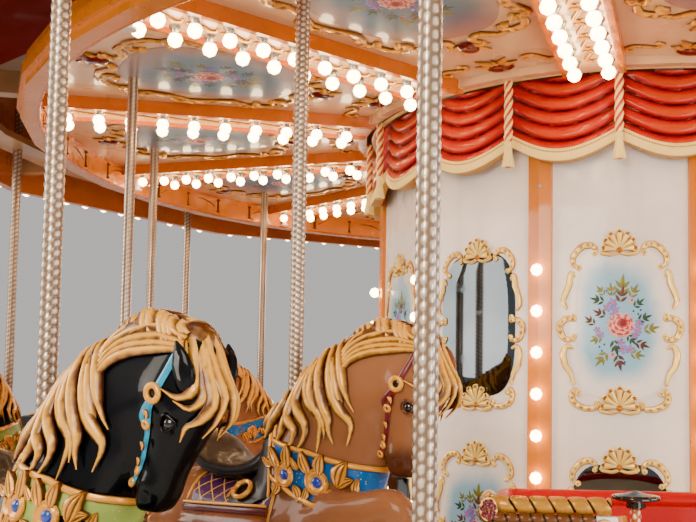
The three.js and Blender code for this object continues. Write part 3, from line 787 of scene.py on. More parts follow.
def make_core(p, c):
    """The drum's paint, its carved frames, pictures, mirrors, bulbs and screws."""
    face = CORE_APOTHEM + 0.0006
    cream = Finish("core_cream_paint", coat=0.45)
    clouds = cream.ramp(cream.noise(2.2, 5), 0.35, 0.75)
    streaks = cream.ramp(cream.noise(9, 4, (1, 1, 0.12)), 0.5, 0.85, 0.0, 0.45)
    cream.colour(cream.mix(streaks, cream.mix(clouds, c.cream, shade(c.cream, 0.82)), shade(c.cream, 0.62)))
    cream.rough(cream.ramp(cream.noise(7, 4), 0.3, 0.75, 0.2, 0.36))
    cream.bump(cream.noise(5, 2), 0.25, 0.004)
    dress("core_drum", cream.material)
    dress("core_trim", gloss_paint("post_orange_paint", c.post, 0.26, 0.82, 3.0, 0.2))
    # Painted shade in the hollows of the carved frames and a painted highlight on their raised parts.
    gilt = relief_paint("core_gilt", c.gilt_shade, c.gilt_high)

    frames, fields, mirrors, flowers = [], [], [], []
    one_frame = thinned(core_scrolls(), 0.3)
    one_bunch = thinned(bouquet(), 0.2, 18)
    outline = rounded_outline(0.166, 0.262, 3.4)
    for turn, (painted, mirror) in core_faces():
        for z in (max(painted, mirror), min(painted, mirror)):
            frames.append(wall(turn, face, z))
        fields.append(wall(turn, face, painted - 0.003))
        mirrors.append(wall(turn, face, mirror - 0.003))
        flowers.append(wall(turn, face + 0.0024, painted))
    for name, chosen in (("upper", frames[::2]), ("lower", frames[1::2])):
        piece(f"core_frames_{name}", [copies(s, chosen) for s in one_frame], [gilt], "base")
    shells = gathered(shell(0.122, 0.082), place(0, 0.268, 0)) + gathered(
        shell(0.128, 0.086), place(0, -0.272, 0)
    )
    piece("core_shells", [copies(s, frames) for s in thinned(shells, 0.18)], [gilt], "base")
    field = Finish("picture_field_paint", coat=0.5)
    edge = field.math(
        "ADD", field.value("relief"),
        field.math("MULTIPLY", field.math("SUBTRACT", field.noise(6, 3), 0.5), 0.35)
    )
    field.colour(field.mix(field.ramp(edge, 0.04, 0.42), c.cream, c.field_blue))
    field.rough(field.ramp(field.noise(9, 3), 0.3, 0.7, 0.22, 0.36))
    piece("core_pictures", [copies(plate(outline, 0.002), fields)], [field.material], "base")
    piece(
        "core_flowers", [copies(s, flowers) for s in one_bunch], flower_paints(), "base",
        smooth=60
    )
    glass = Finish("mirror_glass", 0.03, 1.0)
    glass.colour(glass.mix(glass.ramp(glass.noise(3, 2), 0.3, 0.7), linear("5C6468"), linear("444C50")))
    glass.rough(glass.ramp(glass.noise(12, 4), 0.55, 0.8, 0.03, 0.16))
    piece("core_mirrors", [copies(plate(outline, 0.003), mirrors)], [glass.material], "base")

    globe, cup = lamp(p.bulb_radius * 0.92, 0.012, 0.022)
    spots = [
        wall(15 + 30 * k, (CORE_APOTHEM + 0.014) / math.cos(math.radians(15)) - 0.003, 1.833 - 0.1435 * n)
        for k in range(SIDES)
        for n in range(10)
    ]
    piece("core_bulbs", [copies(globe, spots)], [bulb_glass(c)], "base")
    piece("core_lampholders", [copies(cup, spots)], [gilt, holder_metal()], "base")
    head = turned([(0.007, 0), (0.0085, 0.0015), (0.006, 0.004), (0.002, 0.0042)], 10)
    heads = [
        wall(15 + 30 * k, (CORE_APOTHEM + 0.014) / math.cos(math.radians(15)) - 0.002, z)
        for k in range(SIDES)
        for z in (2.13, 0.46)
    ]
    piece("core_screws", [copies(head, heads)], [holder_metal()], "base")


def bulb_glass(c):
    """Frosted glass that gives a warm light, with faint clouds on the glass."""
    f = Finish("bulb_glass", 0.12, 0.0, 0.4)
    f.colour(f.mix(f.ramp(f.noise(60, 2), 0.3, 0.7), linear("FFF3DD"), linear("F6DDB4")))
    return f.glow(c.bulb, 20.0).material


def holder_metal():
    """Plated steel with fine scratches."""
    f = Finish("plated_metal", 0.25, 1.0)
    f.colour(f.mix(f.ramp(f.noise(50, 3), 0.3, 0.7), linear("C9C2B4"), linear("8F8779")))
    f.rough(f.ramp(f.noise(120, 3, (1, 1, 0.1)), 0.3, 0.7, 0.18, 0.4))
    return f.material


# Drapery

VALANCE_TOP = 2.506
VALANCE_LOW = 2.2
SWAG_SAG = 0.072


ROPE_RADIUS = 1.105  # metres from the axis to a rope's middle


def make_drapery(p, c):
    """The moulded red swags with their fringe, ropes and tassels. Across a swag the lower edge hangs by the sine of
    the share of its width, and the folds follow it up: between two grooves the face swells as the sine of the share
    of the height."""
    per = 26
    pitch = (VALANCE_TOP - VALANCE_LOW) / p.swag_folds
    share = np.tile(np.arange(per) / per, SWAGS)
    angle = np.radians(-90 + 360 * np.arange(SWAGS * per) / (SWAGS * per))
    hang = np.sin(np.pi * share)
    low = VALANCE_LOW + SWAG_SAG * (1 - hang) + 0.012
    t = np.linspace(0, 1, 54)[:, None]
    z = VALANCE_TOP - 0.001 - t * (VALANCE_TOP - 0.001 - low - 0.024)
    up = (z - low - 0.010) / pitch
    fold = up - np.floor(up)
    swell = np.sin(np.pi * fold**0.75) ** 0.55
    pleats = 0.0016 * (1 - hang) ** 2 * np.cos(6 * np.pi * up)
    depth = 0.008 + 0.012 * hang**0.5
    lean = 1.067 + 0.022 * hang * np.clip(t * 1.6, 0, 1) + 0.006 * t
    r = lean - depth * (1 - swell) + pleats
    # The value is low in the grooves between the folds and highest on the middle of the swag: painted shade and painted
    # highlight for the red paint.
    relief = swell * (0.62 + 0.38 * hang**0.7)
    back = np.full_like(low, 1.0545)
    r = np.vstack([back, r, back])
    z = np.vstack([np.full_like(low, VALANCE_TOP - 0.001), z, low + 0.024])
    relief = np.vstack([np.zeros_like(low), relief, np.zeros_like(low)])
    cloth = ring_surface(r, z, angle, relief)

    red = Finish("drapery_red_gloss", coat=0.45)
    red.shader.inputs["Specular IOR Level"].default_value = 0.1
    red.shader.inputs["Coat Roughness"].default_value = 0.03
    height = red.math(
        "ADD", red.value("relief"),
        red.math("MULTIPLY", red.math("SUBTRACT", red.noise(14, 4), 0.5), 0.3)
    )
    # Painted shade, dark red, in the grooves, and a painted highlight, orange, where the folds stand out most.
    shaded_red = red.mix(red.ramp(height, 0.2, 0.8), c.red_shade, c.red_high)
    red.colour(red.mix(red.ramp(height, 0.72, 1.02, 0, 0.75), shaded_red, c.red_highlight))
    red.rough(red.ramp(red.noise(12, 3), 0.3, 0.7, 0.4, 0.6))
    red.bump(red.noise(30, 3, (1, 1, 2)), 0.35, 0.003)
    piece("drapery_swags", [cloth], [red.material], "base", ["valance"], 50)

    arc = angle * 1.1
    top = low + 0.034
    rows = [
        (0.0, 1.0560, 0.0), (0.0, 1.1, 0.15), (0.08, 1.1035, 0.9), (0.3, 1.1030, 0.75), (0.62, 1.1020, 0.8),
        (0.72, 1.1000, 0.1), (0.82, 1.1025, 0.9), (1.0, 1.0985, 0.4), (1.0, 1.0560, 0.0)
    ]
    edge = low - 0.0115
    swell = 0.024 * (hang - 1)
    r = np.stack([np.full_like(low, q) + (swell if q > 1.06 else 0) for _, q, _ in rows])
    z = np.stack([edge + f * (top - edge) for f, _, _ in rows])
    relief = np.stack([np.full_like(low, v) for _, _, v in rows])
    flat = np.stack([np.broadcast_to(arc, z.shape), z], -1)
    band = ring_surface(r[::-1], z[::-1], angle, relief[::-1], flat[::-1])
    # Red in the grooves of the ropes and tassels is painted shade on the cream cord.
    cream = relief_paint("cord_cream_paint", linear("C82C00"), c.cord, 0.4, 0.0, 0.3, (0.2, 0.62))
    stitched = stitched_paint(c)
    piece("drapery_fringe", [band], [stitched], "base", smooth=35)

    count = 54
    path = np.c_[
        np.full(count, ROPE_RADIUS), np.zeros(count), np.linspace(VALANCE_LOW + 0.086, VALANCE_TOP + 0.003, count)
    ]
    rope = tube(path, 0.0138, 0.0138, 12, (0, 1, 0), ridges=0.17, twist=-38.0)
    knot = turned(
        [(0.004, 0.066), (0.014, 0.070), (0.0155, 0.078), (0.013, 0.086), (0.006, 0.090)],
        16, relief=0.7
    )
    a = np.linspace(0, 2 * np.pi, 24, endpoint=False)
    flare = [
        (0.0205, -0.004), (0.0215, 0.0), (0.0185, 0.02), (0.014, 0.045), (0.0115, 0.062), (0.0125, 0.072)
    ]
    rings = np.stack(
        [
            np.stack(
                [
                    (w * (1 + 0.07 * np.cos(12 * a))) * np.cos(a),
                    (w * (1 + 0.07 * np.cos(12 * a))) * np.sin(a), np.full(24, h)
                ],
                -1
            )
            for w, h in flare
        ]
    )
    skirt = loft(rings, 0, np.tile(0.74 + 0.26 * np.cos(12 * a), (len(flare), 1)))
    hung = [s.moved(place(ROPE_RADIUS, 0, VALANCE_LOW)) for s in (knot, skirt)] + [rope]
    turns = [spin(-90 + 360 * k / SWAGS) for k in range(SWAGS)]
    whole = [copies(s, turns) for s in hung]
    whole.append(hoop(round_section(1.0835, 2.5124, 0.0125, 0.0055, 10), 108))
    piece("drapery_ropes", whole, [cream], "base", ["valance_ropes"], 50)


def ring_surface(r, z, angle, relief, flat=None):
    """Closed sections that change as they go round the axis: rows of radius and height down the section, columns
    round the circle."""
    points = np.stack([r * np.cos(angle), r * np.sin(angle), z], -1)
    rows, columns = r.shape
    faces = grid_faces(rows, columns, True, True)
    return Surface(points, [faces[:, ::-1]], 0, relief, flat)


def stitched_paint(c):
    """Cream fringe with a fine upright weave and darker gold in its grooves."""
    f = Finish("fringe_cream", coat=0.15)
    across = f.node("ShaderNodeTexCoord").outputs["UV"]
    weave = f.node(
        "ShaderNodeTexWave", {"Vector": across, "Scale": 38.0, "Distortion": 0.6}, bands_direction="X"
    ).outputs["Fac"]
    height = f.math("ADD", f.math("MULTIPLY", f.value("relief"), 0.75), f.math("MULTIPLY", weave, 0.25))
    f.colour(f.mix(f.ramp(height, 0.15, 0.6), linear("B4802C"), c.cord))
    f.rough(f.ramp(f.noise(40, 3), 0.3, 0.7, 0.42, 0.6))
    return f.bump(weave, 0.45, 0.0015).material


# Ceiling


def ceiling_scrolls():
    """The carved frame of one ceiling picture, 0.95 m along the arm and 0.62 m across, with red stones at its ends."""
    mm = 0.001
    side = []
    side += scroll(
        np.array([(-250, 238), (-262, 262), (-230, 285), (-150, 262), (-70, 300), (0, 318)]) * mm,
        0.022, ends=(1.1, 0.3), ribs=10
    )
    side += scroll(
        np.array([(0, 318), (80, 302), (150, 300), (215, 322), (268, 288), (240, 262)]) * mm,
        0.022, ends=(0.3, 1.1), ribs=10
    )
    side += scroll(
        np.array([(-262, 262), (-330, 240), (-352, 190), (-318, 165), (-300, 190)]) * mm,
        0.020, ends=(0.5, 1.1), ribs=6
    )
    side += scroll(
        np.array([(268, 288), (330, 262), (372, 205), (345, 160), (312, 180)]) * mm,
        0.020, ends=(0.5, 1.1), ribs=6
    )
    side += scroll(
        np.array([(-352, 190), (-372, 130), (-340, 80), (-372, 40), (-410, 60)]) * mm,
        0.018, ends=(0.4, 1.0)
    )
    side += scroll(
        np.array([(372, 205), (388, 140), (352, 80), (376, 36), (412, 60)]) * mm,
        0.018, ends=(0.4, 1.0)
    )
    side += scroll(
        np.array([(-60, 322), (-30, 348), (0, 336), (30, 348), (60, 326)]) * mm,
        0.018, ends=(0.8, 0.8)
    )
    flip = np.diag([1.0, -1, 1, 1])
    whole = side + gathered(side, flip)
    for x, turn in ((0.405, 0), (-0.405, 180), (-0.66, 0)):
        for a, length in ((-68, 0.085), (-34, 0.100), (0, 0.075), (34, 0.100), (68, 0.085)):
            blade = leaf(0).moved(place(0, 0, 0.004, a, (length, length * 0.8, 0.008)))
            whole.append(blade.moved(place(x, 0, 0, turn)))
    return whole


def ceiling_outline():
    """The field inside a ceiling frame: wider towards the outer end."""
    o = rounded_outline(0.335, 0.262, 2.6, 56)
    o[:, 1] *= 1 + 0.12 * o[:, 0] / 0.335
    return o


# Red stones of the ceiling: how far along the arm from the frame's middle, and their size
STONES = ((-0.665, (1.7, 2.4, 1)), (-0.43, (2.1, 1.7, 1)), (0.43, (2.3, 1.8, 1)))
FIRST_BULB, BULB_STEP = 1.24, 0.1247  # metres from the axis along a beam
HUB_RING = 1.1595  # metres: outer radius of the ring round the ceiling's hole


def make_ceiling(p, c):
    """The ceiling's panels, light beams and rim with their bulbs, carving and pictures."""
    peach = Finish("ceiling_peach_paint", coat=0.4)
    peach.colour(peach.mix(peach.ramp(peach.noise(2.0, 5), 0.35, 0.7), c.peach, shade(c.peach, 0.84)))
    peach.rough(peach.ramp(peach.noise(6, 4), 0.3, 0.75, 0.26, 0.42))
    peach.bump(peach.noise(7, 2), 0.2, 0.003)
    dress("ceiling", peach.material)
    beam = Finish("beam_paint", coat=0.45)
    at = beam.node("ShaderNodeSeparateXYZ", {0: beam.node("ShaderNodeTexCoord").outputs["Object"]}).outputs
    z = at[2]
    reach = beam.math("ADD", beam.math("MULTIPLY", at[0], at[0]), beam.math("MULTIPLY", at[1], at[1]))
    hub = beam.math(
        "MULTIPLY", beam.math("LESS_THAN", reach, HUB_RING**2), beam.math("GREATER_THAN", z, 2.4985)
    )
    down = beam.node(
        "ShaderNodeSeparateXYZ", {0: beam.node("ShaderNodeNewGeometry").outputs["Normal"]}
    ).outputs[2]
    side = beam.math("MULTIPLY", beam.ramp(z, 2.4935, 2.4945), beam.math("LESS_THAN", down, -0.5))
    side = beam.math("MAXIMUM", side, hub)
    clouds = beam.ramp(beam.noise(3, 4), 0.35, 0.7)
    orange = beam.mix(clouds, c.orange, shade(c.orange, 0.84))
    beam.colour(beam.mix(side, orange, beam.mix(clouds, c.peach, shade(c.peach, 0.86))))
    beam.rough(beam.ramp(beam.noise(9, 4), 0.3, 0.75, 0.22, 0.36))
    dress("light_beams", beam.material)
    dress("rim", gloss_paint("rim_paint", c.rim, 0.24, 0.84, 3.0, 0.12))
    # Painted shade, dark brown, in the hollows of the ceiling's carving and a painted highlight, pale gold, on its
    # raised parts.
    gilt = relief_paint("ceiling_gilt", linear("743E04"), linear("F4AE34"), 0.26, 0.35)

    beams = [BEAM_TURN + 30 * k for k in range(SIDES)]
    globe, cup = lamp(p.bulb_radius, 0.013, 0.043)
    spots = [
        overhead(turn, r, BEAM_LOW + 0.0138) @ place(0, side)
        for turn in beams
        for r in FIRST_BULB + BULB_STEP * np.arange(10)
        for side in (-0.055, 0.055)
    ]
    piece("ceiling_bulbs", [copies(globe, spots)], [bulb_glass(c)], "turntable")
    cup = turned([(0.021, 0.0), (0.022, 0.003), (0.015, 0.012), (0.013, 0.026)], 8, 0)
    piece("ceiling_lampholders", [copies(cup, spots)], [holder_metal()], "turntable")

    sectors = [overhead(turn + 15, 1.875, CEILING_LOW - 0.0006) for turn in beams]
    piece(
        "ceiling_frames",
        [copies(s, sectors) for s in thinned(ceiling_scrolls(), 0.2, 20)],
        [gilt], "turntable"
    )
    stone = turned([(0.02, -0.001), (0.022, 0.004), (0.017, 0.012), (0.008, 0.016)], 12)
    stones = [s @ place(x, 0, 0.004, size=size) for s in sectors for x, size in STONES]
    ruby = gloss_paint("stone_red", linear("6E0202"), 0.12, 0.6, 30, 0.0, 0.9)
    piece("ceiling_stones", [copies(stone, stones)], [ruby], "turntable")
    field = Finish("ceiling_field_paint", coat=0.4)
    edge = field.math(
        "ADD", field.value("relief"),
        field.math("MULTIPLY", field.math("SUBTRACT", field.noise(5, 4), 0.5), 0.5)
    )
    field.colour(field.mix(field.ramp(edge, -0.05, 0.5), linear("B08C80"), c.ceiling_blue))
    field.rough(field.ramp(field.noise(9, 3), 0.3, 0.7, 0.28, 0.42))
    piece(
        "ceiling_pictures", [copies(plate(ceiling_outline(), 0.002), sectors)], [field.material],
        "turntable"
    )
    bunch = gathered(bouquet(), place(0, 0, 0.0022, 90, (1.25, 1.3, 1)))
    piece(
        "ceiling_flowers", [copies(s, sectors) for s in thinned(bunch, 0.11, 8)], flower_paints(),
        "turntable", smooth=60
    )

    rows = np.arange(9)
    curl = scroll(
        np.array([(-44, -14), (-52, 0), (-34, 12), (0, 0), (34, -12), (52, 0), (44, 14)]) * 0.001,
        0.009, 0.006, (1, 1)
    )
    curls = [overhead(turn, FIRST_BULB + 0.062 + BULB_STEP * n, BEAM_LOW + 0.0136) for turn in beams for n in rows]
    piece("beam_scrolls", [copies(s, curls) for s in thinned(curl, 0.33)], [gilt], "turntable")
    small = scroll(
        np.array([(-50, -20), (-62, 4), (-34, 22), (0, 2), (34, -20), (60, -2), (46, 20)]) * 0.001,
        0.011, 0.008, (1.2, 1.2)
    )
    ends = [
        overhead(turn, 1.24, CEILING_LOW - 0.0006) @ place(0, side * 0.168, 0, side * 80)
        for turn in beams for side in (-1, 1)
    ]
    piece("ceiling_curls", [copies(s, ends) for s in thinned(small, 0.5)], [gilt], "turntable")
    make_rim(c, beams, gilt)


def make_rim(c, beams, gilt):
    """The rim's pilasters, arches and lower moulding, with the fittings at the ends of the light beams."""
    inner = 2.462
    pilaster = turned(
        [(0.010, 0.0), (0.016, 0.004), (0.010, 0.012), (0.009, 0.062), (0.016, 0.070), (0.011, 0.078)],
        8
    )
    turns = [beams[0] + 6 * k for k in range(60)]
    spots = [spin(t) @ place(inner - 0.002, 0, 2.433) for t in turns]
    piece("rim_pilasters", [copies(pilaster, spots)], [gilt], "turntable")
    bead = hoop(round_section(inner - 0.003, 2.4155, 0.0075, 0.0065, 8), 120)
    upper = hoop(round_section(inner - 0.002, 2.519, 0.005, 0.0045, 8), 120)
    piece(
        "rim_beads", [bead, upper], [gloss_paint("rim_bead_paint", c.orange, 0.2, 0.84, 3.0)], "turntable",
    )
    a = np.radians(np.linspace(-2.4, 2.4, 14))
    arch = np.stack(
        [(inner - 0.002) * np.cos(a), (inner - 0.002) * np.sin(a), 2.497 - 0.032 * (a / a[-1]) ** 2],
        -1
    )
    bow = tube(arch, 0.0045, 0.0045, 6)
    piece("rim_arches", [copies(bow, [spin(t + 3) for t in turns])], [gilt], "turntable")
    body = turned(
        [(0.012, 0.0), (0.013, 0.004), (0.013, 0.052), (0.024, 0.054), (0.024, 0.060), (0.010, 0.062)],
        14
    )
    ends = [overhead(t, 2.425, BEAM_LOW - 0.0004) @ place(0, 0.0) for t in beams]
    white = gloss_paint("fitting_white", linear("EEE7DD"), 0.3, 0.86, 12)
    piece("beam_fittings", [copies(body, ends)], [white], "turntable")


# Roof and boards


# Metres from the axis to a side of the roof and to the face of a rounding board, and the height of its middle
ROOF_EDGE, BOARD_FACE, BOARD_MIDDLE = 3.132, 3.072, 2.72


def make_roof(p, c):
    """The rounding boards' paint and carving, the roof's panels and ribs, and the finial."""
    dress("rounding_boards", gloss_paint("board_orange_paint", c.orange, 0.24, 0.84, 2.0, 0.12))
    dress("sweeps", gloss_paint("sweep_paint", linear("B98A5A"), 0.4, 0.75, 4.0))
    roof = Finish("roof_panel_paint", coat=0.2)
    at = roof.node("ShaderNodeSeparateXYZ", {0: roof.node("ShaderNodeTexCoord").outputs["Object"]})
    angle = roof.math("ARCTAN2", at.outputs[1], at.outputs[0])
    gore = roof.math(
        "FRACT",
        roof.math("ADD", roof.math("MULTIPLY", angle, 12 / (2 * math.pi)), 3 - BEAM_TURN / 30)
    )
    red = roof.ramp(roof.math("ABSOLUTE", roof.math("SUBTRACT", gore, 0.5)), 0.245, 0.255)
    stain = roof.ramp(roof.noise(1.6, 5), 0.35, 0.75)
    cloth = roof.mix(red, c.red_high, linear("EADFCB"))
    roof.colour(roof.mix(stain, cloth, roof.mix(0.18, cloth, linear("6B5F52"))))
    roof.rough(roof.ramp(roof.noise(5, 4), 0.3, 0.7, 0.4, 0.6))
    roof.bump(roof.noise(3, 3), 0.3, 0.01)
    dress("roof_canopy", roof.material)
    dress(
        "finial",
        relief_paint("finial_gilt", linear("9A6218"), linear("E9BE62"), 0.25, 0.8, 0.1, (-0.3, 0.3))
    )

    # Painted shade in the hollows of the boards' carving and a painted highlight on its raised parts.
    gilt = relief_paint("board_gilt", c.gilt_shade, c.gilt_high)
    corner = ROOF_EDGE / math.cos(math.pi / SIDES)
    low, high = 3.012, 4.06
    t = np.linspace(0, 1, 10)[:, None]
    line = (1 - t) * np.array([corner - 0.004, 0, low + 0.004]) + t * np.array([0.175, 0, high + 0.002])
    rib = tube(line, 0.016, 0.012, 8, (0, 1, 0), tone=0)
    turns = [BEAM_TURN + 30 * k for k in range(SIDES)]
    piece(
        "roof_ribs", [copies(rib, [spin(t) for t in turns])],
        [gloss_paint("rib_paint", c.orange, 0.3, 0.8, 4.0)], "turntable"
    )

    faces = [spin(t + 15) @ axes((BOARD_FACE + 0.0005, 0, BOARD_MIDDLE), (0, 1, 0), (0, 0, 1), (1, 0, 0)) for t in turns]
    board = rounded_outline(0.62, 0.185, 3.2, 56)
    field = Finish("board_field_paint", coat=0.4)
    rim = field.math(
        "ADD", field.value("relief"),
        field.math("MULTIPLY", field.math("SUBTRACT", field.noise(3, 4), 0.5), 0.4)
    )
    field.colour(field.mix(field.ramp(rim, 0.02, 0.5), linear("E6D3B4"), c.ceiling_blue))
    field.rough(field.ramp(field.noise(5, 3), 0.3, 0.7, 0.25, 0.4))
    piece(
        "board_pictures", [copies(plate(board, 0.004), faces)], [field.material], "turntable"
    )
    mm = 0.001
    side = scroll(
        np.array([(560, 90), (590, 150), (650, 120), (640, 40), (600, 0)]) * mm,
        0.022, 0.014, (1.1, 0.8), 8
    )
    side += scroll(
        np.array([(640, -40), (650, -120), (590, -150), (560, -90)]) * mm,
        0.022, 0.014, (0.8, 1.1), 8
    )
    side += scroll(
        np.array([(540, 170), (420, 205), (300, 180), (180, 205), (100, 195)]) * mm,
        0.02, 0.014, (1.0, 1.0), 12
    )
    side += scroll(
        np.array([(540, -170), (420, -205), (300, -180), (180, -205), (100, -195)]) * mm,
        0.02, 0.014, (1.0, 1.0), 12
    )
    whole = mirrored(side)
    whole += gathered(shell(0.19, 0.11, depth=0.02), place(0, 0.185, 0))
    whole += gathered(shell(0.19, 0.11, depth=0.02), place(0, -0.185, 0))
    piece("board_frames", [copies(s, faces) for s in thinned(whole, 0.12, 12)], [gilt], "turntable")
    bunch = gathered(bouquet(), place(0, 0, 0.0045, 90, (0.9, 1.0, 1)))
    piece(
        "board_flowers", [copies(s, faces) for s in thinned(bunch, 0.11, 8)], flower_paints(), "turntable",
        smooth=60
    )
    globe, cup = lamp(p.bulb_radius, 0.014, 0.026)
    along = (np.arange(11) - 5) * 0.142
    spots = [
        spin(t + 15) @ axes((3.0965, y, z), (0, 1, 0), (0, 0, 1), (1, 0, 0))
        for t in turns for y in along for z in (2.471, 2.975)
    ]
    piece("board_bulbs", [copies(globe, spots)], [bulb_glass(c)], "turntable")
    piece("board_lampholders", [copies(cup, spots)], [gilt, holder_metal()], "turntable")


# Deck and frame


def make_deck(p, c):
    """The deck's boards, which lie across its rings, and the steel under it."""
    wood = Finish("deck_board_varnish", coat=0.3)
    at = wood.node("ShaderNodeSeparateXYZ", {0: wood.node("ShaderNodeTexCoord").outputs["Object"]})
    x, y = at.outputs[0], at.outputs[1]
    angle = wood.math("ARCTAN2", y, x)
    board = wood.math("MULTIPLY", angle, 96 / (2 * math.pi))
    gap = wood.math("ABSOLUTE", wood.math("SUBTRACT", wood.math("FRACT", wood.math("ADD", board, 60)), 0.5))
    seam = wood.ramp(gap, 0.468, 0.488)
    tint = wood.node(
        "ShaderNodeTexWhiteNoise", {1: wood.math("FLOOR", wood.math("ADD", board, 60))},
        noise_dimensions="1D"
    ).outputs[0]
    grain = wood.noise(22, 6, (1, 1, 3))
    base = wood.mix(tint, c.deck, shade(c.deck, 0.72))
    base = wood.mix(wood.ramp(grain, 0.35, 0.7), base, wood.mix(0.35, base, linear("3A2212")))
    wood.colour(wood.mix(seam, base, linear("24160D")))
    wood.rough(wood.ramp(wood.noise(6, 4), 0.3, 0.7, 0.34, 0.58))
    wood.bump(wood.math("SUBTRACT", grain, seam), 0.3, 0.003)
    dress("deck", wood.material)
    steel = Finish("frame_steel_paint", 0.5, 0.3)
    steel.colour(steel.mix(steel.ramp(steel.noise(6, 5), 0.4, 0.7), linear("5A5F63"), linear("3E4144")))
    steel.rough(steel.ramp(steel.noise(14, 4), 0.3, 0.7, 0.4, 0.65))
    steel.bump(steel.noise(40, 3), 0.2, 0.002)
    dress("base_frame", steel.material)
    dress("mast", steel.material)
    edge = hoop([(3.1505, 0.243), (3.158, 0.248), (3.158, 0.292), (3.1505, 0.297)], 144)
    piece(
        "deck_edge", [edge],
        [relief_paint("deck_edge_metal", linear("8A6A3A"), linear("D9B36A"), 0.3, 0.8, 0.1, (-0.3, 0.3))],
        "turntable"
    )


# Poles


def embossed(radius, bump, pitch, low, high, columns=8, fine=3, rows=4):
    """A pole beaten into bumps: columns of round bosses that climb round it, each three eighths of the pitch higher.
    The radius is the plain one plus the bump times a dome of the distance from the nearest boss."""
    count = int(round((high - low) / pitch * rows)) + 1
    z = np.linspace(low, high, count)[:, None]
    a = np.linspace(0, 2 * np.pi, columns * fine, endpoint=False)[None]
    u = a * columns / (2 * np.pi)
    column = np.floor(u + 0.5)
    du = u - column
    v = z / pitch + 3 * column / columns
    dv = (v - np.floor(v)) - 0.5
    height = np.clip(1 - (du / 0.44) ** 2 - (dv / 0.40) ** 2, 0, 1) ** 0.8
    r = radius + bump * height
    rings = np.stack([r * np.cos(a), r * np.sin(a), np.broadcast_to(z, r.shape)], -1)
    return loft(rings, 0, height)


def pole_metal(c):
    """Plated brass: paler on the bosses as a painted highlight, and darker in between, as tarnish and painted shade."""
    f = Finish("pole_brass_plate", 0.22, 0.4, 0.4)
    tone_mix = f.math("ADD", f.value("relief"), f.math("MULTIPLY", f.math("SUBTRACT", f.noise(9, 4), 0.5), 0.45))
    # Painted highlight on the bosses; painted shade and tarnish between them.
    f.colour(f.mix(f.ramp(tone_mix, 0.1, 0.75), c.pole_low, c.pole_highlight))
    f.rough(f.ramp(tone_mix, 0.1, 0.8, 0.38, 0.16))
    return f.material


POLE_FOOT = 0.471  # metres above a ride's origin: the pole's lower end, under the horse's belly


def make_poles(p, c):
    """The poles of both rows, the two fixed poles, their caps and their collars on the rides."""
    metal = pole_metal(c)
    cap = turned(
        [(0.019, -0.001), (0.024, 0.004), (0.026, 0.02), (0.022, 0.03), (0.0215, 0.05)],
        18, relief=0.8
    )
    for row, radius, bump, pitch, top in (
        (OUTER_ROW, 0.0205, 0.0030, 0.0215, 2.76), (INNER_ROW, 0.0180, 0.0027, 0.0160, 2.72)
    ):
        high = top - DECK_TOP - row["lift"]
        rod = embossed(radius, bump, pitch, POLE_FOOT, high - 0.0005)
        plain = embossed(radius, bump, pitch, POLE_FOOT, high - 0.0005, 6, 2, 2)
        for k, at in ride_places(row):
            name = f"{row['kind']}_pole_{k}"
            foot = cap.moved(place(0, 0, 0.4705, size=(radius / 0.0205 * 0.95, radius / 0.0205 * 0.95, 1)))
            piece(
                f"embossed_{name}", [(rod if near(at) else plain).moved(at), foot.moved(at)], [metal],
                f"{row['kind']}_ride_{k}", [name], 60
            )
    for i, turn in enumerate(FIXED_POLE_TURNS):
        fine, rows = (4, 3) if i == 0 else (2, 2)
        rod = embossed(0.0205, 0.0031, 0.0233, 0.3006, 2.5544, 8, fine, rows)
        a = math.radians(turn)
        at = place(OUTER_ROW["radius"] * math.cos(a), OUTER_ROW["radius"] * math.sin(a), 0, turn)
        base = turned(
            [
                (0.040, 0.3006), (0.042, 0.304), (0.036, 0.312), (0.027, 0.318), (0.0245, 0.345),
                (0.0225, 0.350)
            ],
            24, relief=0.8
        )
        piece(
            f"embossed_fixed_pole_{i + 1}", [rod.moved(at), base.moved(at)], [metal], "turntable",
            [f"fixed_pole_{i + 1}"], 60
        )


# Horses. A ride's own frame: X along the travel, Y at the axis, the origin on the pole's axis at deck level.

BARREL = [
    (-0.475, 0, 0.735, 0.050, 0.060),
    (-0.430, 0, 0.730, 0.112, 0.120),
    (-0.330, 0, 0.716, 0.142, 0.150),
    (-0.200, 0, 0.700, 0.138, 0.142),
    (-0.060, 0, 0.694, 0.136, 0.146),
    (0.080, 0, 0.704, 0.136, 0.158),
    (0.175, 0, 0.738, 0.126, 0.158),
    (0.245, 0, 0.778, 0.092, 0.112),
    (0.290, 0, 0.790, 0.030, 0.050),
]
NECK = [
    (0.030, 0, 0.745, 0.108, 0.150),
    (0.090, 0, 0.850, 0.108, 0.172),
    (0.150, 0, 0.950, 0.102, 0.172),
    (0.222, 0, 1.055, 0.086, 0.150),
    (0.300, 0, 1.125, 0.070, 0.118),
    (0.375, 0, 1.165, 0.056, 0.088),
    (0.440, 0, 1.178, 0.044, 0.060),
]
HEAD = [
    (0.452, 0, 1.232, 0.026, 0.030),
    (0.447, 0, 1.205, 0.046, 0.058),
    (0.435, 0, 1.150, 0.058, 0.088),
    (0.418, 0, 1.095, 0.060, 0.096),
    (0.402, 0, 1.040, 0.051, 0.080),
    (0.390, 0, 0.990, 0.043, 0.062),
    (0.381, 0, 0.950, 0.040, 0.052),
    (0.375, 0, 0.915, 0.042, 0.049),
    (0.369, 0, 0.888, 0.036, 0.038),
    (0.366, 0, 0.876, 0.020, 0.020),
]
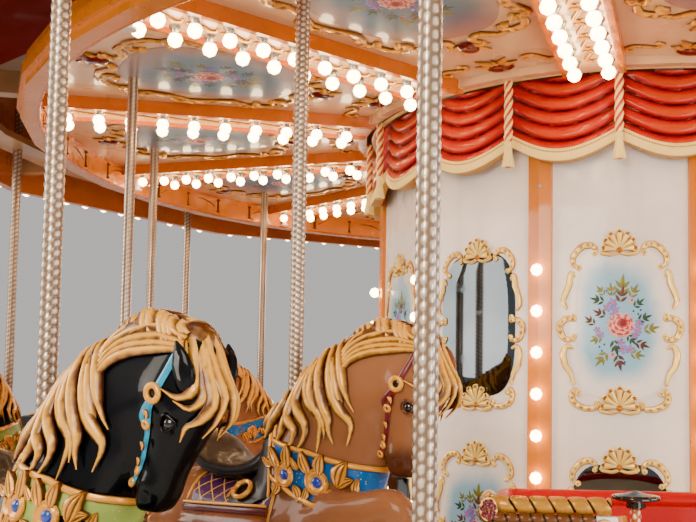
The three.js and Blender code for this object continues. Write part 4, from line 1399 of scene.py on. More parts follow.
LEGS = [
    [
        (0.120, 0.070, 0.740, 0.062, 0.100), (0.190, 0.082, 0.680, 0.056, 0.078),
        (0.262, 0.088, 0.622, 0.042, 0.050), (0.284, 0.089, 0.580, 0.036, 0.040),
        (0.288, 0.090, 0.520, 0.027, 0.030), (0.292, 0.090, 0.450, 0.025, 0.027),
        (0.300, 0.090, 0.415, 0.031, 0.034), (0.318, 0.090, 0.388, 0.025, 0.028)
    ],
    [
        (0.120, -0.070, 0.730, 0.064, 0.104), (0.215, -0.086, 0.748, 0.058, 0.082),
        (0.330, -0.096, 0.792, 0.046, 0.056), (0.405, -0.100, 0.812, 0.042, 0.046),
        (0.428, -0.100, 0.780, 0.034, 0.037), (0.405, -0.099, 0.715, 0.026, 0.029),
        (0.385, -0.098, 0.655, 0.025, 0.027), (0.372, -0.097, 0.625, 0.031, 0.034),
        (0.352, -0.096, 0.602, 0.025, 0.028)
    ],
    [
        (-0.350, 0.066, 0.720, 0.078, 0.130), (-0.372, 0.078, 0.620, 0.058, 0.086),
        (-0.400, 0.084, 0.545, 0.040, 0.052), (-0.425, 0.084, 0.485, 0.033, 0.040),
        (-0.445, 0.084, 0.430, 0.026, 0.029), (-0.462, 0.084, 0.380, 0.031, 0.034),
        (-0.476, 0.084, 0.350, 0.026, 0.029)
    ],
    [
        (-0.350, -0.066, 0.720, 0.078, 0.130), (-0.352, -0.078, 0.620, 0.058, 0.086),
        (-0.362, -0.084, 0.540, 0.040, 0.052), (-0.385, -0.084, 0.478, 0.033, 0.040),
        (-0.405, -0.084, 0.420, 0.026, 0.029), (-0.424, -0.084, 0.368, 0.031, 0.034),
        (-0.436, -0.084, 0.340, 0.026, 0.029)
    ],
]
HOOVES = [
    ((0.318, 0.090, 0.388), (0.352, 0.090, 0.346)),
    ((0.352, -0.096, 0.602), (0.312, -0.095, 0.566)),
    ((-0.476, 0.084, 0.350), (-0.494, 0.084, 0.306)),
    ((-0.436, -0.084, 0.340), (-0.450, -0.084, 0.298)),
]
# Middle, radius and height of each muscle or hollow; both sides of the body get it
SWELLS = [
    ((0.400, 0.050, 1.110), 0.050, 0.011),
    ((0.352, 0.045, 1.075), 0.035, 0.008),
    ((0.441, 0.055, 1.050), 0.020, -0.005),
    ((0.452, 0.050, 1.072), 0.016, 0.007),
    ((0.378, 0.045, 0.930), 0.024, 0.005),
    ((0.384, 0.045, 0.908), 0.011, -0.010),
    ((0.360, 0.030, 0.886), 0.014, 0.005),
    ((0.215, 0.085, 0.800), 0.060, 0.014),
    ((0.120, 0.110, 0.800), 0.050, -0.006),
    ((0.250, 0.090, 0.960), 0.050, -0.006),
    ((0.300, 0.060, 1.020), 0.035, -0.005),
    ((-0.330, 0.130, 0.730), 0.080, 0.012),
    ((-0.250, 0.130, 0.650), 0.050, -0.010),
    ((-0.400, 0.090, 0.640), 0.050, 0.006),
]


def limb(stops, count, sides=16, power=2.3):
    """A smooth limb: sections of superellipses along a curve through the stops, each a place, a half width across
    the body and a half depth along it."""
    run = spline(stops, count)
    path, wide, deep = run[:, :3], run[:, 3:4], run[:, 4:5]
    tangent = np.gradient(path, axis=0)
    tangent /= np.linalg.norm(tangent, axis=1)[:, None]
    side = np.array([0, 1.0, 0]) - tangent * tangent[:, 1:2]
    side /= np.linalg.norm(side, axis=1)[:, None]
    normal = np.cross(tangent, side)
    outline = rounded_outline(1, 1, power, sides)
    rings = path[:, None] + side[:, None] * (
        wide * outline[:, 0]
    )[..., None] + normal[:, None] * (deep * outline[:, 1])[..., None]
    return loft(rings)


def merged(surfaces, voxel, passes):
    """Surfaces that overlap, made one skin by a voxel remesh and smoothed; returns its points, normals and quads."""
    rough = rough_object(surfaces)
    remesh = rough.modifiers.new("remesh", "REMESH")
    remesh.mode = "VOXEL"
    remesh.voxel_size = voxel
    smooth = rough.modifiers.new("smooth", "SMOOTH")
    smooth.factor = 0.5
    smooth.iterations = passes
    skin = result_of(rough)
    if (read(skin.polygons, "loop_total", 1, int) != 4).any():
        raise RuntimeError("the remeshed skin has faces that aren't quads")
    faces = read(skin.loops, "vertex_index", 1, int).reshape(-1, 4)
    return read(skin.vertices, "co", 3), read(skin.vertices, "normal", 3), faces


def horse_body():
    """The bare horse: its limbs merged, then raised or sunk along the normals by a bell curve round each swell."""
    limbs = [limb(BARREL, 26, 20), limb(NECK, 22, 20), limb(HEAD, 24, 18)]
    limbs += [limb(stops, 22, 12) for stops in LEGS]
    points, normals, faces = merged(limbs, 0.0105, 6)
    for (x, y, z), radius, height in SWELLS:
        for side in (y, -y):
            gap = np.linalg.norm(points - (x, side, z), axis=1)
            points += normals * (height * np.exp(-((gap / radius) ** 2)))[:, None]
    return points, faces


def torso_skin():
    """The barrel and neck with the roots of the forelegs, for the straps that pass behind the muzzle and the knee."""
    limbs = [limb(BARREL, 26, 20), limb(NECK, 22, 20)] + [limb(stops[:2], 8, 12) for stops in LEGS[:2]]
    points, _, faces = merged(limbs, 0.0125, 6)
    return Skin(points, faces)




class Skin:
    """The bare horse's skin, to lay hair, straps and carving on."""

    def __init__(self, points, faces):
        self.tree = BVHTree.FromPolygons(points.tolist(), faces.tolist())

    def shot(self, start, aim):
        """Where a line from start along aim meets the skin, or the nearest place on it, and the normal there."""
        place, normal, _, _ = self.tree.ray_cast(Vector(start), Vector(aim))
        if place is None:
            place, normal, _, _ = self.tree.find_nearest(
                Vector(start) + Vector(aim) * np.linalg.norm(start[:2])
            )
        return np.array(place), np.array(normal)

    def line(self, flat, side, lift):
        """A line given in X and Z, laid on one side of the body and lifted off it, with the normals under it."""
        hits = [self.shot((x, side * 0.6, z), (0, -side, 0)) for x, z in flat]
        places, normals = (np.array(part) for part in zip(*hits))
        return places + normals * lift, normals

    def seat(self, x, z, side, turn=0.0, size=1.0, lift=0.0):
        """A frame on one side of the body: X forwards turned by an angle in degrees, Z along the normal."""
        place, normal = self.shot((x, side * 0.6, z), (0, -side, 0))
        up = np.array([0, 0, 1.0]) - normal * normal[2]
        up /= np.linalg.norm(up)
        across = np.cross(up, normal)
        m = axes(place + normal * lift, across, up, normal)
        a = turn if side < 0 else -turn
        return m @ spin(a) @ np.diag([size, size, size, 1.0])


def outward(surface):
    """Turns a closed surface's faces round if they enclose a negative volume."""
    total = 0.0
    for f in surface.faces:
        a, b, c = (surface.points[f[:, k]] for k in (0, 1, 2))
        total += np.einsum("ij,ij->", a, np.cross(b, c))
        if f.shape[1] == 4:
            total += np.einsum("ij,ij->", a, np.cross(c, surface.points[f[:, 3]]))
    if total < 0:
        surface.faces = [f[:, ::-1] for f in surface.faces]
    return surface


# Long locks of the mane in X and Z, from the crest to the tip
LOCKS = [
    ((0.222, 1.205), (0.243, 1.155), (0.258, 1.105), (0.270, 1.074), (0.289, 1.034)),
    (
        (0.202, 1.196), (0.214, 1.145), (0.226, 1.093), (0.248, 1.048), (0.276, 1.014), (0.279, 0.988),
        (0.264, 0.950)
    ),
    ((0.186, 1.186), (0.182, 1.130), (0.198, 1.070), (0.222, 1.020), (0.222, 0.988), (0.230, 0.953)),
    ((0.170, 1.176), (0.140, 1.110), (0.158, 1.058), (0.198, 1.018), (0.195, 0.980), (0.182, 0.930)),
    ((0.152, 1.164), (0.118, 1.085), (0.116, 1.045), (0.152, 1.000), (0.148, 0.962), (0.115, 0.926)),
    ((0.128, 1.140), (0.106, 1.070), (0.092, 1.015), (0.118, 0.985), (0.112, 0.955), (0.092, 0.935)),
    ((0.104, 1.115), (0.096, 1.050), (0.076, 1.000), (0.060, 0.965), (0.036, 0.940)),
    ((0.070, 1.080), (0.052, 1.030), (0.020, 0.995), (0.002, 0.965), (-0.022, 0.950)),
    ((0.036, 1.045), (0.010, 1.005), (-0.022, 0.980), (-0.052, 0.965)),
    ((0.210, 1.180), (0.232, 1.120), (0.244, 1.080), (0.256, 1.050), (0.252, 1.020)),
    ((0.160, 1.150), (0.160, 1.090), (0.182, 1.042), (0.206, 1.010), (0.208, 0.965)),
]
CREST = [
    (-0.060, 0.955), (0.000, 1.035), (0.060, 1.100), (0.110, 1.145), (0.160, 1.180), (0.199, 1.205),
    (0.240, 1.232), (0.285, 1.256), (0.325, 1.270), (0.370, 1.266), (0.410, 1.250), (0.450, 1.238)
]
# Strands of the forelock in X, Y and Z; the other side gets them too
FORELOCK = [
    (
        (0.430, -0.004, 1.246), (0.476, -0.006, 1.226), (0.497, -0.010, 1.182), (0.520, -0.010, 1.140),
        (0.546, -0.010, 1.098), (0.534, -0.018, 1.056), (0.500, -0.020, 1.024)
    ),
    (
        (0.436, -0.018, 1.240), (0.474, -0.026, 1.204), (0.492, -0.034, 1.152), (0.500, -0.046, 1.112),
        (0.474, -0.062, 1.098), (0.438, -0.072, 1.114)
    ),
    (
        (0.442, -0.014, 1.240), (0.484, -0.018, 1.198), (0.504, -0.024, 1.148), (0.520, -0.034, 1.102),
        (0.498, -0.052, 1.078), (0.462, -0.062, 1.092)
    ),
    (
        (0.446, -0.010, 1.242), (0.490, -0.014, 1.192), (0.512, -0.020, 1.142), (0.534, -0.026, 1.092),
        (0.512, -0.040, 1.056), (0.480, -0.044, 1.044), (0.468, -0.046, 1.016)
    ),
    ((0.424, -0.026, 1.236), (0.456, -0.036, 1.206), (0.476, -0.042, 1.166), (0.480, -0.050, 1.130)),
]
CHEEK_STRAP = [
    (0.456, 1.180), (0.441, 1.145), (0.420, 1.108), (0.400, 1.080), (0.383, 1.045), (0.369, 1.008),
    (0.358, 0.973), (0.347, 0.953), (0.329, 0.931)
]
CHEEK_BRANCH = [(0.412, 1.098), (0.388, 1.080), (0.371, 1.062), (0.374, 1.044)]


def lock(path, normals, wide, deep, tone=0):
    """A carved lock of hair along a path on the skin: widest a third of the way down, pointed at its end, with two
    grooves along it."""
    count = len(path)
    t = np.linspace(0, 1, count)
    taper = (
        0.45 + 0.55 * np.sin(np.pi * np.clip(t * 1.35, 0, 1)) ** 0.8
    ) * np.clip((1 - t) * 4.6, 0.10, 1) ** 0.7
    _, side, normal = directions(path, normals)
    a = np.linspace(0, 2 * np.pi, 16, endpoint=False)
    groove = 1 - 0.34 * (0.5 - 0.5 * np.cos(4 * a)) * (np.sin(a) > -0.2)
    x = wide * np.cos(a)
    y = deep * np.sin(a) * groove
    rings = path[:, None] + taper[:, None, None] * (
        side[:, None] * x[None, :, None] + normal[:, None] * y[None, :, None]
    )
    # The value is low in the two grooves and on the underside, as painted shade, and high on the top, as a painted
    # highlight.
    value = np.clip(0.12 + 0.88 * np.sin(a), 0, 1) * (0.55 + 0.45 * np.cos(4 * a))
    return outward(loft(rings, tone, np.tile(value, (count, 1))))


def mane(skin):
    """The mane: a ridge under the crest line, strands swept over it, long locks down the neck, and the forelock."""
    parts = []
    crest = spline(CREST, 30)
    t = np.linspace(0, 1, 30)
    ridge = np.c_[crest[:, 0], np.zeros(30), crest[:, 1] - 0.052]
    band = outward(
        tube(ridge, 0.036 + 0.014 * np.sin(np.pi * t), 0.052 * np.clip(4 * t, 0.4, 1), 14, (0, 1, 0))
    )
    # The ridge and the poll take a low value, so that they show painted shade between and under the strands.
    band.relief[:] = 0.22
    poll = ball(1.0, 18, 12).moved(place(0.456, 0, 1.196, size=(0.045, 0.041, 0.050)))
    poll.relief[:] = 0.22
    parts += [band, poll]
    for side in (-1, 1):
        for n, stops in enumerate(LOCKS):
            places, normals = skin.line(spline(stops, 16), side, 0.006 + 0.003 * (n % 3))
            places[:3, 1] = side * np.maximum(np.abs(places[:3, 1]), 0.024)
            parts.append(lock(places, normals, 0.0175, 0.0130))
        for n, share in enumerate(np.linspace(0.26, 0.97, 16)):
            x, z = crest[int(share * 29)]
            drop = 0.098 - 0.034 * share
            flat = [
                (x - 0.012, z - 0.002), (x + 0.006, z - 0.016), (x + 0.024, z - 0.6 * drop),
                (x + 0.050, z - drop)
            ]
            path = spline(flat, 10)
            depth = np.clip((z - path[:, 1]) / drop, 0, 1)
            y = side * (0.008 + 0.050 * depth**0.7)
            points = np.c_[path[:, 0], y, path[:, 1] + 0.004 * np.sin(np.pi * depth)]
            up = np.c_[np.zeros(10), side * (0.35 + depth), 1.2 - depth]
            parts.append(lock(points, up / np.linalg.norm(up, axis=1)[:, None], 0.0165, 0.0115))
        for low in (-0.032, -0.016, 0.0, 0.013, 0.025):
            flat = spline(
                [
                    (0.470, 1.198 - low * 0.5), (0.400, 1.212 - low), (0.330, 1.207 - low),
                    (0.280, 1.190 - low), (0.248, 1.158 - low), (0.230, 1.110 - low), (0.222, 1.060 - low)
                ],
                20
            )
            places, normals = skin.line(flat, side, 0.006)
            parts.append(lock(places, normals, 0.0115, 0.0095))
        for stops in FORELOCK:
            points = spline(stops, 16)
            points[:, 1] *= -side
            up = points - (0.44, 0, 1.12)
            parts.append(lock(points, up / np.linalg.norm(up, axis=1)[:, None], 0.0165, 0.0120))
    return parts


def tail():
    """Eight locks that spread from the dock and meet in a point."""
    parts = []
    for k in range(8):
        a = 2 * np.pi * k / 8
        c, s = np.cos(a), np.sin(a)
        stops = [
            (-0.440, 0.014 * s, 0.785), (-0.490, 0.030 * s, 0.775 + 0.012 * c),
            (-0.515 - 0.012 * c, 0.036 * s, 0.690), (-0.505 - 0.014 * c, 0.030 * s, 0.580),
            (-0.515 - 0.006 * c, 0.016 * s, 0.490), (-0.530, 0.004 * s, 0.430)
        ]
        path = spline(stops, 18)
        up = np.tile((c * -1.0, s, 0.15), (18, 1))
        parts.append(lock(path, up / np.linalg.norm(up, axis=1)[:, None], 0.020, 0.016))
    return parts


def laid(skin, columns, rows, height, tone, flat_size=None, ends=True):
    """A sheet laid round the body: columns are lines of start points that shoot along given aims; the sheet lies at
    the given height over the skin and turns in at its edges. Columns and rows are arrays of starts and aims."""
    starts, aims = columns, rows
    count, across = starts.shape[:2]
    outer = np.empty_like(starts)
    inner = np.empty_like(starts)
    for i in range(count):
        for j in range(across):
            hit, _ = skin.shot(starts[i, j], aims[i, j])
            outer[i, j] = hit - aims[i, j] * height
            inner[i, j] = hit + aims[i, j] * 0.006
    if ends:
        outer[0] = 0.5 * (outer[0] + inner[0])
        outer[-1] = 0.5 * (outer[-1] + inner[-1])
    rings = np.concatenate([outer, inner[:, ::-1]], axis=1)
    made = loft(rings, tone)
    if flat_size:
        u, v = np.meshgrid(
            np.linspace(0, flat_size[0], count), np.linspace(0, flat_size[1], across), indexing="ij"
        )
        one = np.stack([u, v], -1)
        whole = np.concatenate([one, one[:, ::-1]], axis=1).reshape(-1, 2)
        made.flat = np.vstack([whole, whole[:1], whole[-1:]])
    return outward(made), outer


COLLAR, COLLAR_RIM, GEM, CLOTH, CLOTH_BAND, FOLD, LEATHER, STRAP, RING_GOLD, HOLE = range(10)


def edge_cord(path, wide, tone, up):
    """A round gold cord along an edge."""
    return outward(tube(path, wide, wide, 8, up, tone=tone))


def carved_rosette(skin, x, z, side, size):
    """A rosette with a gem: two rings round a hollow and a domed gem in it."""
    dish = [
        (0.35, -0.1), (1.26, 0.0), (1.32, 0.16), (1.20, 0.34), (1.06, 0.20), (0.90, 0.33), (0.72, 0.26),
        (0.54, 0.12), (0.42, 0.1)
    ]
    parts = [
        turned(dish, 24, RING_GOLD, 0.85),
        turned([(0.3, 0.0), (0.54, 0.12), (0.47, 0.28), (0.24, 0.36)], 16, GEM)
    ]
    return gathered(parts, skin.seat(x, z, side, 0, size, 0.009))


def carved_leaf(skin, x, z, side, turn, length):
    """A pointed leaf laid on the collar, with a groove along it."""
    blade = fluted_leaf(RING_GOLD)
    blade = blade.moved(place(0, 0, 0, 0, (1, 1.1, 0.16)))
    return blade.moved(skin.seat(x, z, side, turn, length, 0.012))


def collar(skin):
    """The breast collar round the front of the chest, with its rims, rosettes and leaves."""
    a = np.radians(np.linspace(-128, 128, 45))
    spread = np.abs(np.degrees(a))
    high = np.interp(spread, (0, 25, 60, 90, 128), (0.889, 0.900, 0.928, 0.938, 0.955))
    low = np.interp(spread, (0, 25, 60, 90, 128), (0.792, 0.794, 0.802, 0.822, 0.862))
    v = np.linspace(0, 1, 7)
    z = low[:, None] + (high - low)[:, None] * v
    aim = np.stack([-np.cos(a), -np.sin(a), np.zeros_like(a)], -1)
    starts = np.stack([0.10 - aim[:, None, 0] + 0 * v, -aim[:, None, 1] + 0 * v, z], -1)
    aims = np.broadcast_to(aim[:, None], starts.shape)
    band, outer = laid(skin, starts, aims, 0.006, COLLAR, (0.75, 0.11))
    parts = [band]
    for row in (0, -1):
        parts.append(edge_cord(outer[:, row], 0.0085, COLLAR_RIM, -aim))
    for side in (-1, 1):
        for x, z, size in ((0.078, 0.869, 0.025), (0.176, 0.857, 0.026)):
            parts += carved_rosette(skin, x, z, side, size)
        for x, z, turn, length in (
            (0.094, 0.886, 82, 0.060), (0.064, 0.884, 112, 0.058), (0.186, 0.876, 70, 0.056),
            (0.158, 0.876, 102, 0.058), (0.226, 0.852, 62, 0.072), (0.226, 0.850, 25, 0.048),
            (0.060, 0.850, -120, 0.042), (0.110, 0.846, -70, 0.046), (0.128, 0.884, 120, 0.036),
            (0.200, 0.838, -60, 0.044), (0.150, 0.838, -110, 0.040), (0.040, 0.888, 150, 0.040),
            (0.258, 0.826, 75, 0.044)
        ):
            parts.append(carved_leaf(skin, x, z, side, turn, length))
    return parts


def bridle(skin):
    """The cheek straps with their rings and bits, on both sides of the head."""
    parts = []
    for side in (-1, 1):
        for stops, wide in ((CHEEK_STRAP, 0.0085), (CHEEK_BRANCH, 0.0065)):
            places, normals = skin.line(spline(stops, 26), side, 0.0022)
            parts.append(outward(tube(places, wide, 0.0030, 8, normals, tone=STRAP)))
        ring = hoop(round_section(0.72, 0.2, 0.30, 0.26, 10), 24, RING_GOLD)
        hub = turned([(0.2, 0.0), (0.5, 0.05), (0.45, 0.12)], 14, HOLE)
        parts += gathered([outward(ring), hub], skin.seat(0.418, 1.106, side, 0, 0.021, 0.003))
        small = outward(hoop(round_section(0.68, 0.2, 0.34, 0.34, 8), 18, RING_GOLD))
        for x, z, size in ((0.382, 1.047, 0.0115), (0.347, 0.955, 0.011), (0.331, 0.932, 0.010)):
            parts.append(small.moved(skin.seat(x, z, side, 0, size, 0.003)))
        for x, z, turn, length in (
            (0.396, 1.078, -60, 0.020), (0.372, 1.016, -70, 0.018), (0.360, 0.984, -72, 0.018)
        ):
            parts.append(carved_leaf(skin, x, z, side, turn, length))
    return parts


def saddle(skin):
    """The cloth over the back, the saddle's flaps and seat, with their cords and carving."""
    parts = []
    x = np.linspace(-0.272, 0.030, 17)
    spread = np.interp(x, (-0.272, 0.030), (78, 74))
    share = np.linspace(-1, 1, 33)
    angle = np.radians(spread[:, None] * share)
    aim = np.stack([np.zeros_like(angle), -np.sin(angle), -np.cos(angle)], -1)
    middle = np.stack(
        [np.broadcast_to(x[:, None], angle.shape), np.zeros_like(angle), np.full_like(angle, 0.70)],
        -1
    )
    cloth, outer = laid(skin, middle - aim * 0.5, aim, 0.005, CLOTH, (0.30, 0.40))
    parts.append(cloth)
    for end in (0, -1):
        parts.append(edge_cord(outer[end], 0.006, COLLAR_RIM, -aim[end]))
    for side in (0, -1):
        edge = outer[:, side].copy()
        out = -aim[:, side]
        parts.append(outward(tube(edge + out * 0.002 + (0, 0, 0.034), 0.011, 0.006, 8, out, tone=CLOTH_BAND)))
        parts.append(edge_cord(edge + out * 0.003 + (0, 0, 0.047), 0.0045, COLLAR_RIM, out))
        parts.append(outward(tube(edge + out * 0.004 - (0, 0, 0.006), 0.031, 0.017, 12, out, tone=FOLD)))
    x = np.linspace(-0.135, 0.012, 9)
    share = np.linspace(-1, 1, 25)
    angle = np.radians(np.interp(x, (-0.135, -0.06, 0.012), (50, 62, 46))[:, None] * share)
    aim = np.stack([np.zeros_like(angle), -np.sin(angle), -np.cos(angle)], -1)
    middle = np.stack(
        [np.broadcast_to(x[:, None], angle.shape), np.zeros_like(angle), np.full_like(angle, 0.70)],
        -1
    )
    flap, outer = laid(skin, middle - aim * 0.5, aim, 0.014, LEATHER)
    parts.append(flap)
    for end in (0, -1):
        parts.append(edge_cord(outer[end], 0.0055, COLLAR_RIM, -aim[end]))
    for side in (-1, 1):
        ring = outward(hoop(round_section(0.80, 0.3, 0.20, 0.20, 8), 22, RING_GOLD))
        parts.append(ring.moved(skin.seat(-0.082, 0.806, side, 0, 0.034, 0.012)))
    stops = [
        (-0.330, 0, 0.900, 0.050, 0.030), (-0.318, 0, 0.925, 0.098, 0.038),
        (-0.285, 0, 0.915, 0.112, 0.040), (-0.230, 0, 0.876, 0.108, 0.030),
        (-0.160, 0, 0.862, 0.092, 0.026), (-0.100, 0, 0.872, 0.070, 0.030),
        (-0.062, 0, 0.898, 0.046, 0.036), (-0.044, 0, 0.910, 0.020, 0.018)
    ]
    run = spline(stops, 22)
    outline = rounded_outline(1, 1, 2.6, 24)
    rings = run[:, None, :3] + np.stack(
        [0 * outline[:, 0] * run[:, 3:4], run[:, 3:4] * outline[:, 0], run[:, 4:5] * outline[:, 1]],
        -1
    )
    parts.append(outward(loft(rings, LEATHER)))
    cantle = [
        (-0.322, s * w, z)
        for s, w, z in (
            (-1, 0.100, 0.915), (-1, 0.092, 0.948), (-1, 0.05, 0.962), (1, 0.0, 0.966), (1, 0.05, 0.962),
            (1, 0.092, 0.948), (1, 0.100, 0.915)
        )
    ]
    parts.append(edge_cord(spline(cantle, 24), 0.0075, COLLAR_RIM, (1, 0, 0)))
    return parts


def ears_and_eyes():
    """Ears as tapered blades with a hollow face, eyes as glossy globes under a lid. Tone 0 is the coat, 1 the hollow
    and 2 the eye."""
    ear = limb(
        [
            (0.476, 0.040, 1.106, 0.014, 0.016), (0.479, 0.047, 1.122, 0.016, 0.026),
            (0.480, 0.055, 1.150, 0.013, 0.028), (0.477, 0.062, 1.178, 0.008, 0.018),
            (0.470, 0.066, 1.202, 0.002, 0.003)
        ],
        12, 12, 2.0
    )
    hollow = petal(14, 1).moved(
        axes((0.4835, 0.0625, 1.150), (0.012, -0.006, 0), (-0.004, 0.006, 0.036), (0.002, 0.005, 0))
    )
    eye = ball(0.0160, 16, 10, 2).moved(place(0.4385, 0.0430, 1.050))
    lid = tube(
        spline(
            [
                (0.420, 0.0525, 1.044), (0.428, 0.0595, 1.061), (0.442, 0.0600, 1.066),
                (0.459, 0.0500, 1.052)
            ],
            12
        ),
        0.0035 * np.array([0.5, 0.8, 1, 1, 1, 1, 1, 1, 1, 1, 0.8, 0.5]),
        0.0035, 6, (0, 1, 0)
    )
    under = tube(
        spline(
            [
                (0.420, 0.0525, 1.044), (0.432, 0.0590, 1.036), (0.447, 0.0565, 1.036),
                (0.459, 0.0500, 1.052)
            ],
            10
        ),
        0.0024, 0.0024, 6, (0, 1, 0)
    )
    parts = [outward(s) for s in (ear, hollow, eye, lid, under)]
    return parts + gathered(parts, np.diag([1.0, -1, 1, 1]))


def hooves(tone):
    """Hooves as short flared cones, with a rounded coronet."""
    parts = []
    for top, end in HOOVES:
        top, end = np.array(top), np.array(end)
        t = np.array([-0.12, 0.0, 0.12, 0.9, 1.0])[:, None]
        path = top + (end - top) * t
        size = np.array([0.020, 0.029, 0.031, 0.041, 0.038])
        _, side, normal = directions(path, np.array([0, 1.0, 0]))
        a = np.linspace(0, 2 * np.pi, 16, endpoint=False)
        rings = path[:, None] + (
            side[:, None] * np.cos(a)[:, None] + normal[:, None] * np.sin(a)[:, None]
        ) * size[:, None, None]
        parts.append(outward(loft(rings, tone)))
    return parts


def coat_paint(name, colour, dark, rough, shine):
    """Deep gloss coat, darker at the legs and on the muzzle as painted shade; the mask is a value kept with the points.
    """
    f = Finish(name, rough, coat=shine)
    f.shader.inputs["Specular IOR Level"].default_value = 0.15 * shine
    f.shader.inputs["Coat Roughness"].default_value = 0.04
    clouds = f.ramp(f.noise(4, 4), 0.35, 0.7)
    base = f.mix(clouds, colour, shade(colour, 0.86))
    mask = f.math("ADD", f.value("relief"), f.math("MULTIPLY", f.math("SUBTRACT", f.noise(9, 4), 0.5), 0.3))
    f.colour(f.mix(f.ramp(mask, 0.15, 0.9), base, dark))
    f.rough(f.ramp(f.noise(14, 4), 0.3, 0.75, rough, rough + 0.14))
    return f.bump(f.noise(9, 3), 0.10, 0.004).material


def lattice_cloth(name, colour, line):
    """Painted cloth with a lattice of gold diamonds on its flat coordinates."""
    f = Finish(name, 0.35, coat=0.4)
    at = f.node("ShaderNodeSeparateXYZ", {0: f.node("ShaderNodeTexCoord").outputs["UV"]})
    u = f.math("MULTIPLY", at.outputs[0], 22.0)
    v = f.math("MULTIPLY", at.outputs[1], 17.0)
    lines = []
    for operation in ("ADD", "SUBTRACT"):
        fold = f.math("FRACT", f.math(operation, u, v))
        lines.append(f.ramp(f.math("ABSOLUTE", f.math("SUBTRACT", fold, 0.5)), 0.44, 0.47))
    grid = f.math("MAXIMUM", *lines)
    tint = f.mix(f.ramp(f.noise(30, 4), 0.3, 0.7), colour, shade(colour, 0.6))
    f.colour(f.mix(grid, tint, line))
    f.rough(f.ramp(f.noise(20, 4), 0.3, 0.7, 0.28, 0.5))
    return f.bump(grid, 0.4, 0.001).material


def speckled_band(name, colour, speck):
    """Collar paint with small gold specks."""
    f = Finish(name, 0.3, coat=0.3)
    dots = f.node("ShaderNodeTexVoronoi", {"Vector": f.place(), "Scale": 75.0}).outputs["Distance"]
    tint = f.mix(f.ramp(f.noise(14, 4), 0.3, 0.7), colour, shade(colour, 0.72))
    f.colour(f.mix(f.ramp(dots, 0.16, 0.10), tint, speck))
    f.rough(f.ramp(f.noise(20, 4), 0.3, 0.7, 0.22, 0.4))
    return f.bump(f.noise(30, 3), 0.15, 0.0015).material


def tack_paints(kind, band, gem, cloth, fold, strap):
    """The paints of one row's tack, in the order of their numbers."""
    # Painted shade, dark brown, in the hollows of the gold carving and a painted highlight on its raised parts.
    gold = relief_paint(f"{kind}_tack_gold", linear("4E2604"), linear("E69E38"), 0.26, 0.3, 0.2, (0.05, 0.8))
    return [
        speckled_band(f"{kind}_collar_paint", band, linear("D9C27A")),
        gold,
        gloss_paint(f"{kind}_gem", gem, 0.1, 0.6, 40, 0.0, 1.0),
        lattice_cloth(f"{kind}_saddle_cloth", cloth, linear("D9A23A")),
        gloss_paint(f"{kind}_cloth_band", linear("5C0E14"), 0.3, 0.75, 12),
        gloss_paint(f"{kind}_cloth_fold", fold, 0.25, 0.62, 14, 0.35),
        gloss_paint(f"{kind}_saddle_leather", linear("150D0B"), 0.34, 0.6, 18, 0.3, 0.15),
        gloss_paint(f"{kind}_bridle_strap", strap, 0.32, 0.72, 26, 0.2),
        gold,
        gloss_paint(f"{kind}_boss_black", linear("0B0A0A"), 0.2, 0.6, 30),
    ]


def shifted(surface, reach):
    """Carries the head and neck forwards: by the reach times a smooth step from 0.80 to 1.05 m of height."""
    t = np.clip((surface.points[:, 2] - 0.80) / 0.25, 0, 1)
    points = surface.points.copy()
    points[:, 0] += reach * t * t * (3 - 2 * t)
    return Surface(points, surface.faces, surface.tone, surface.relief, surface.flat)


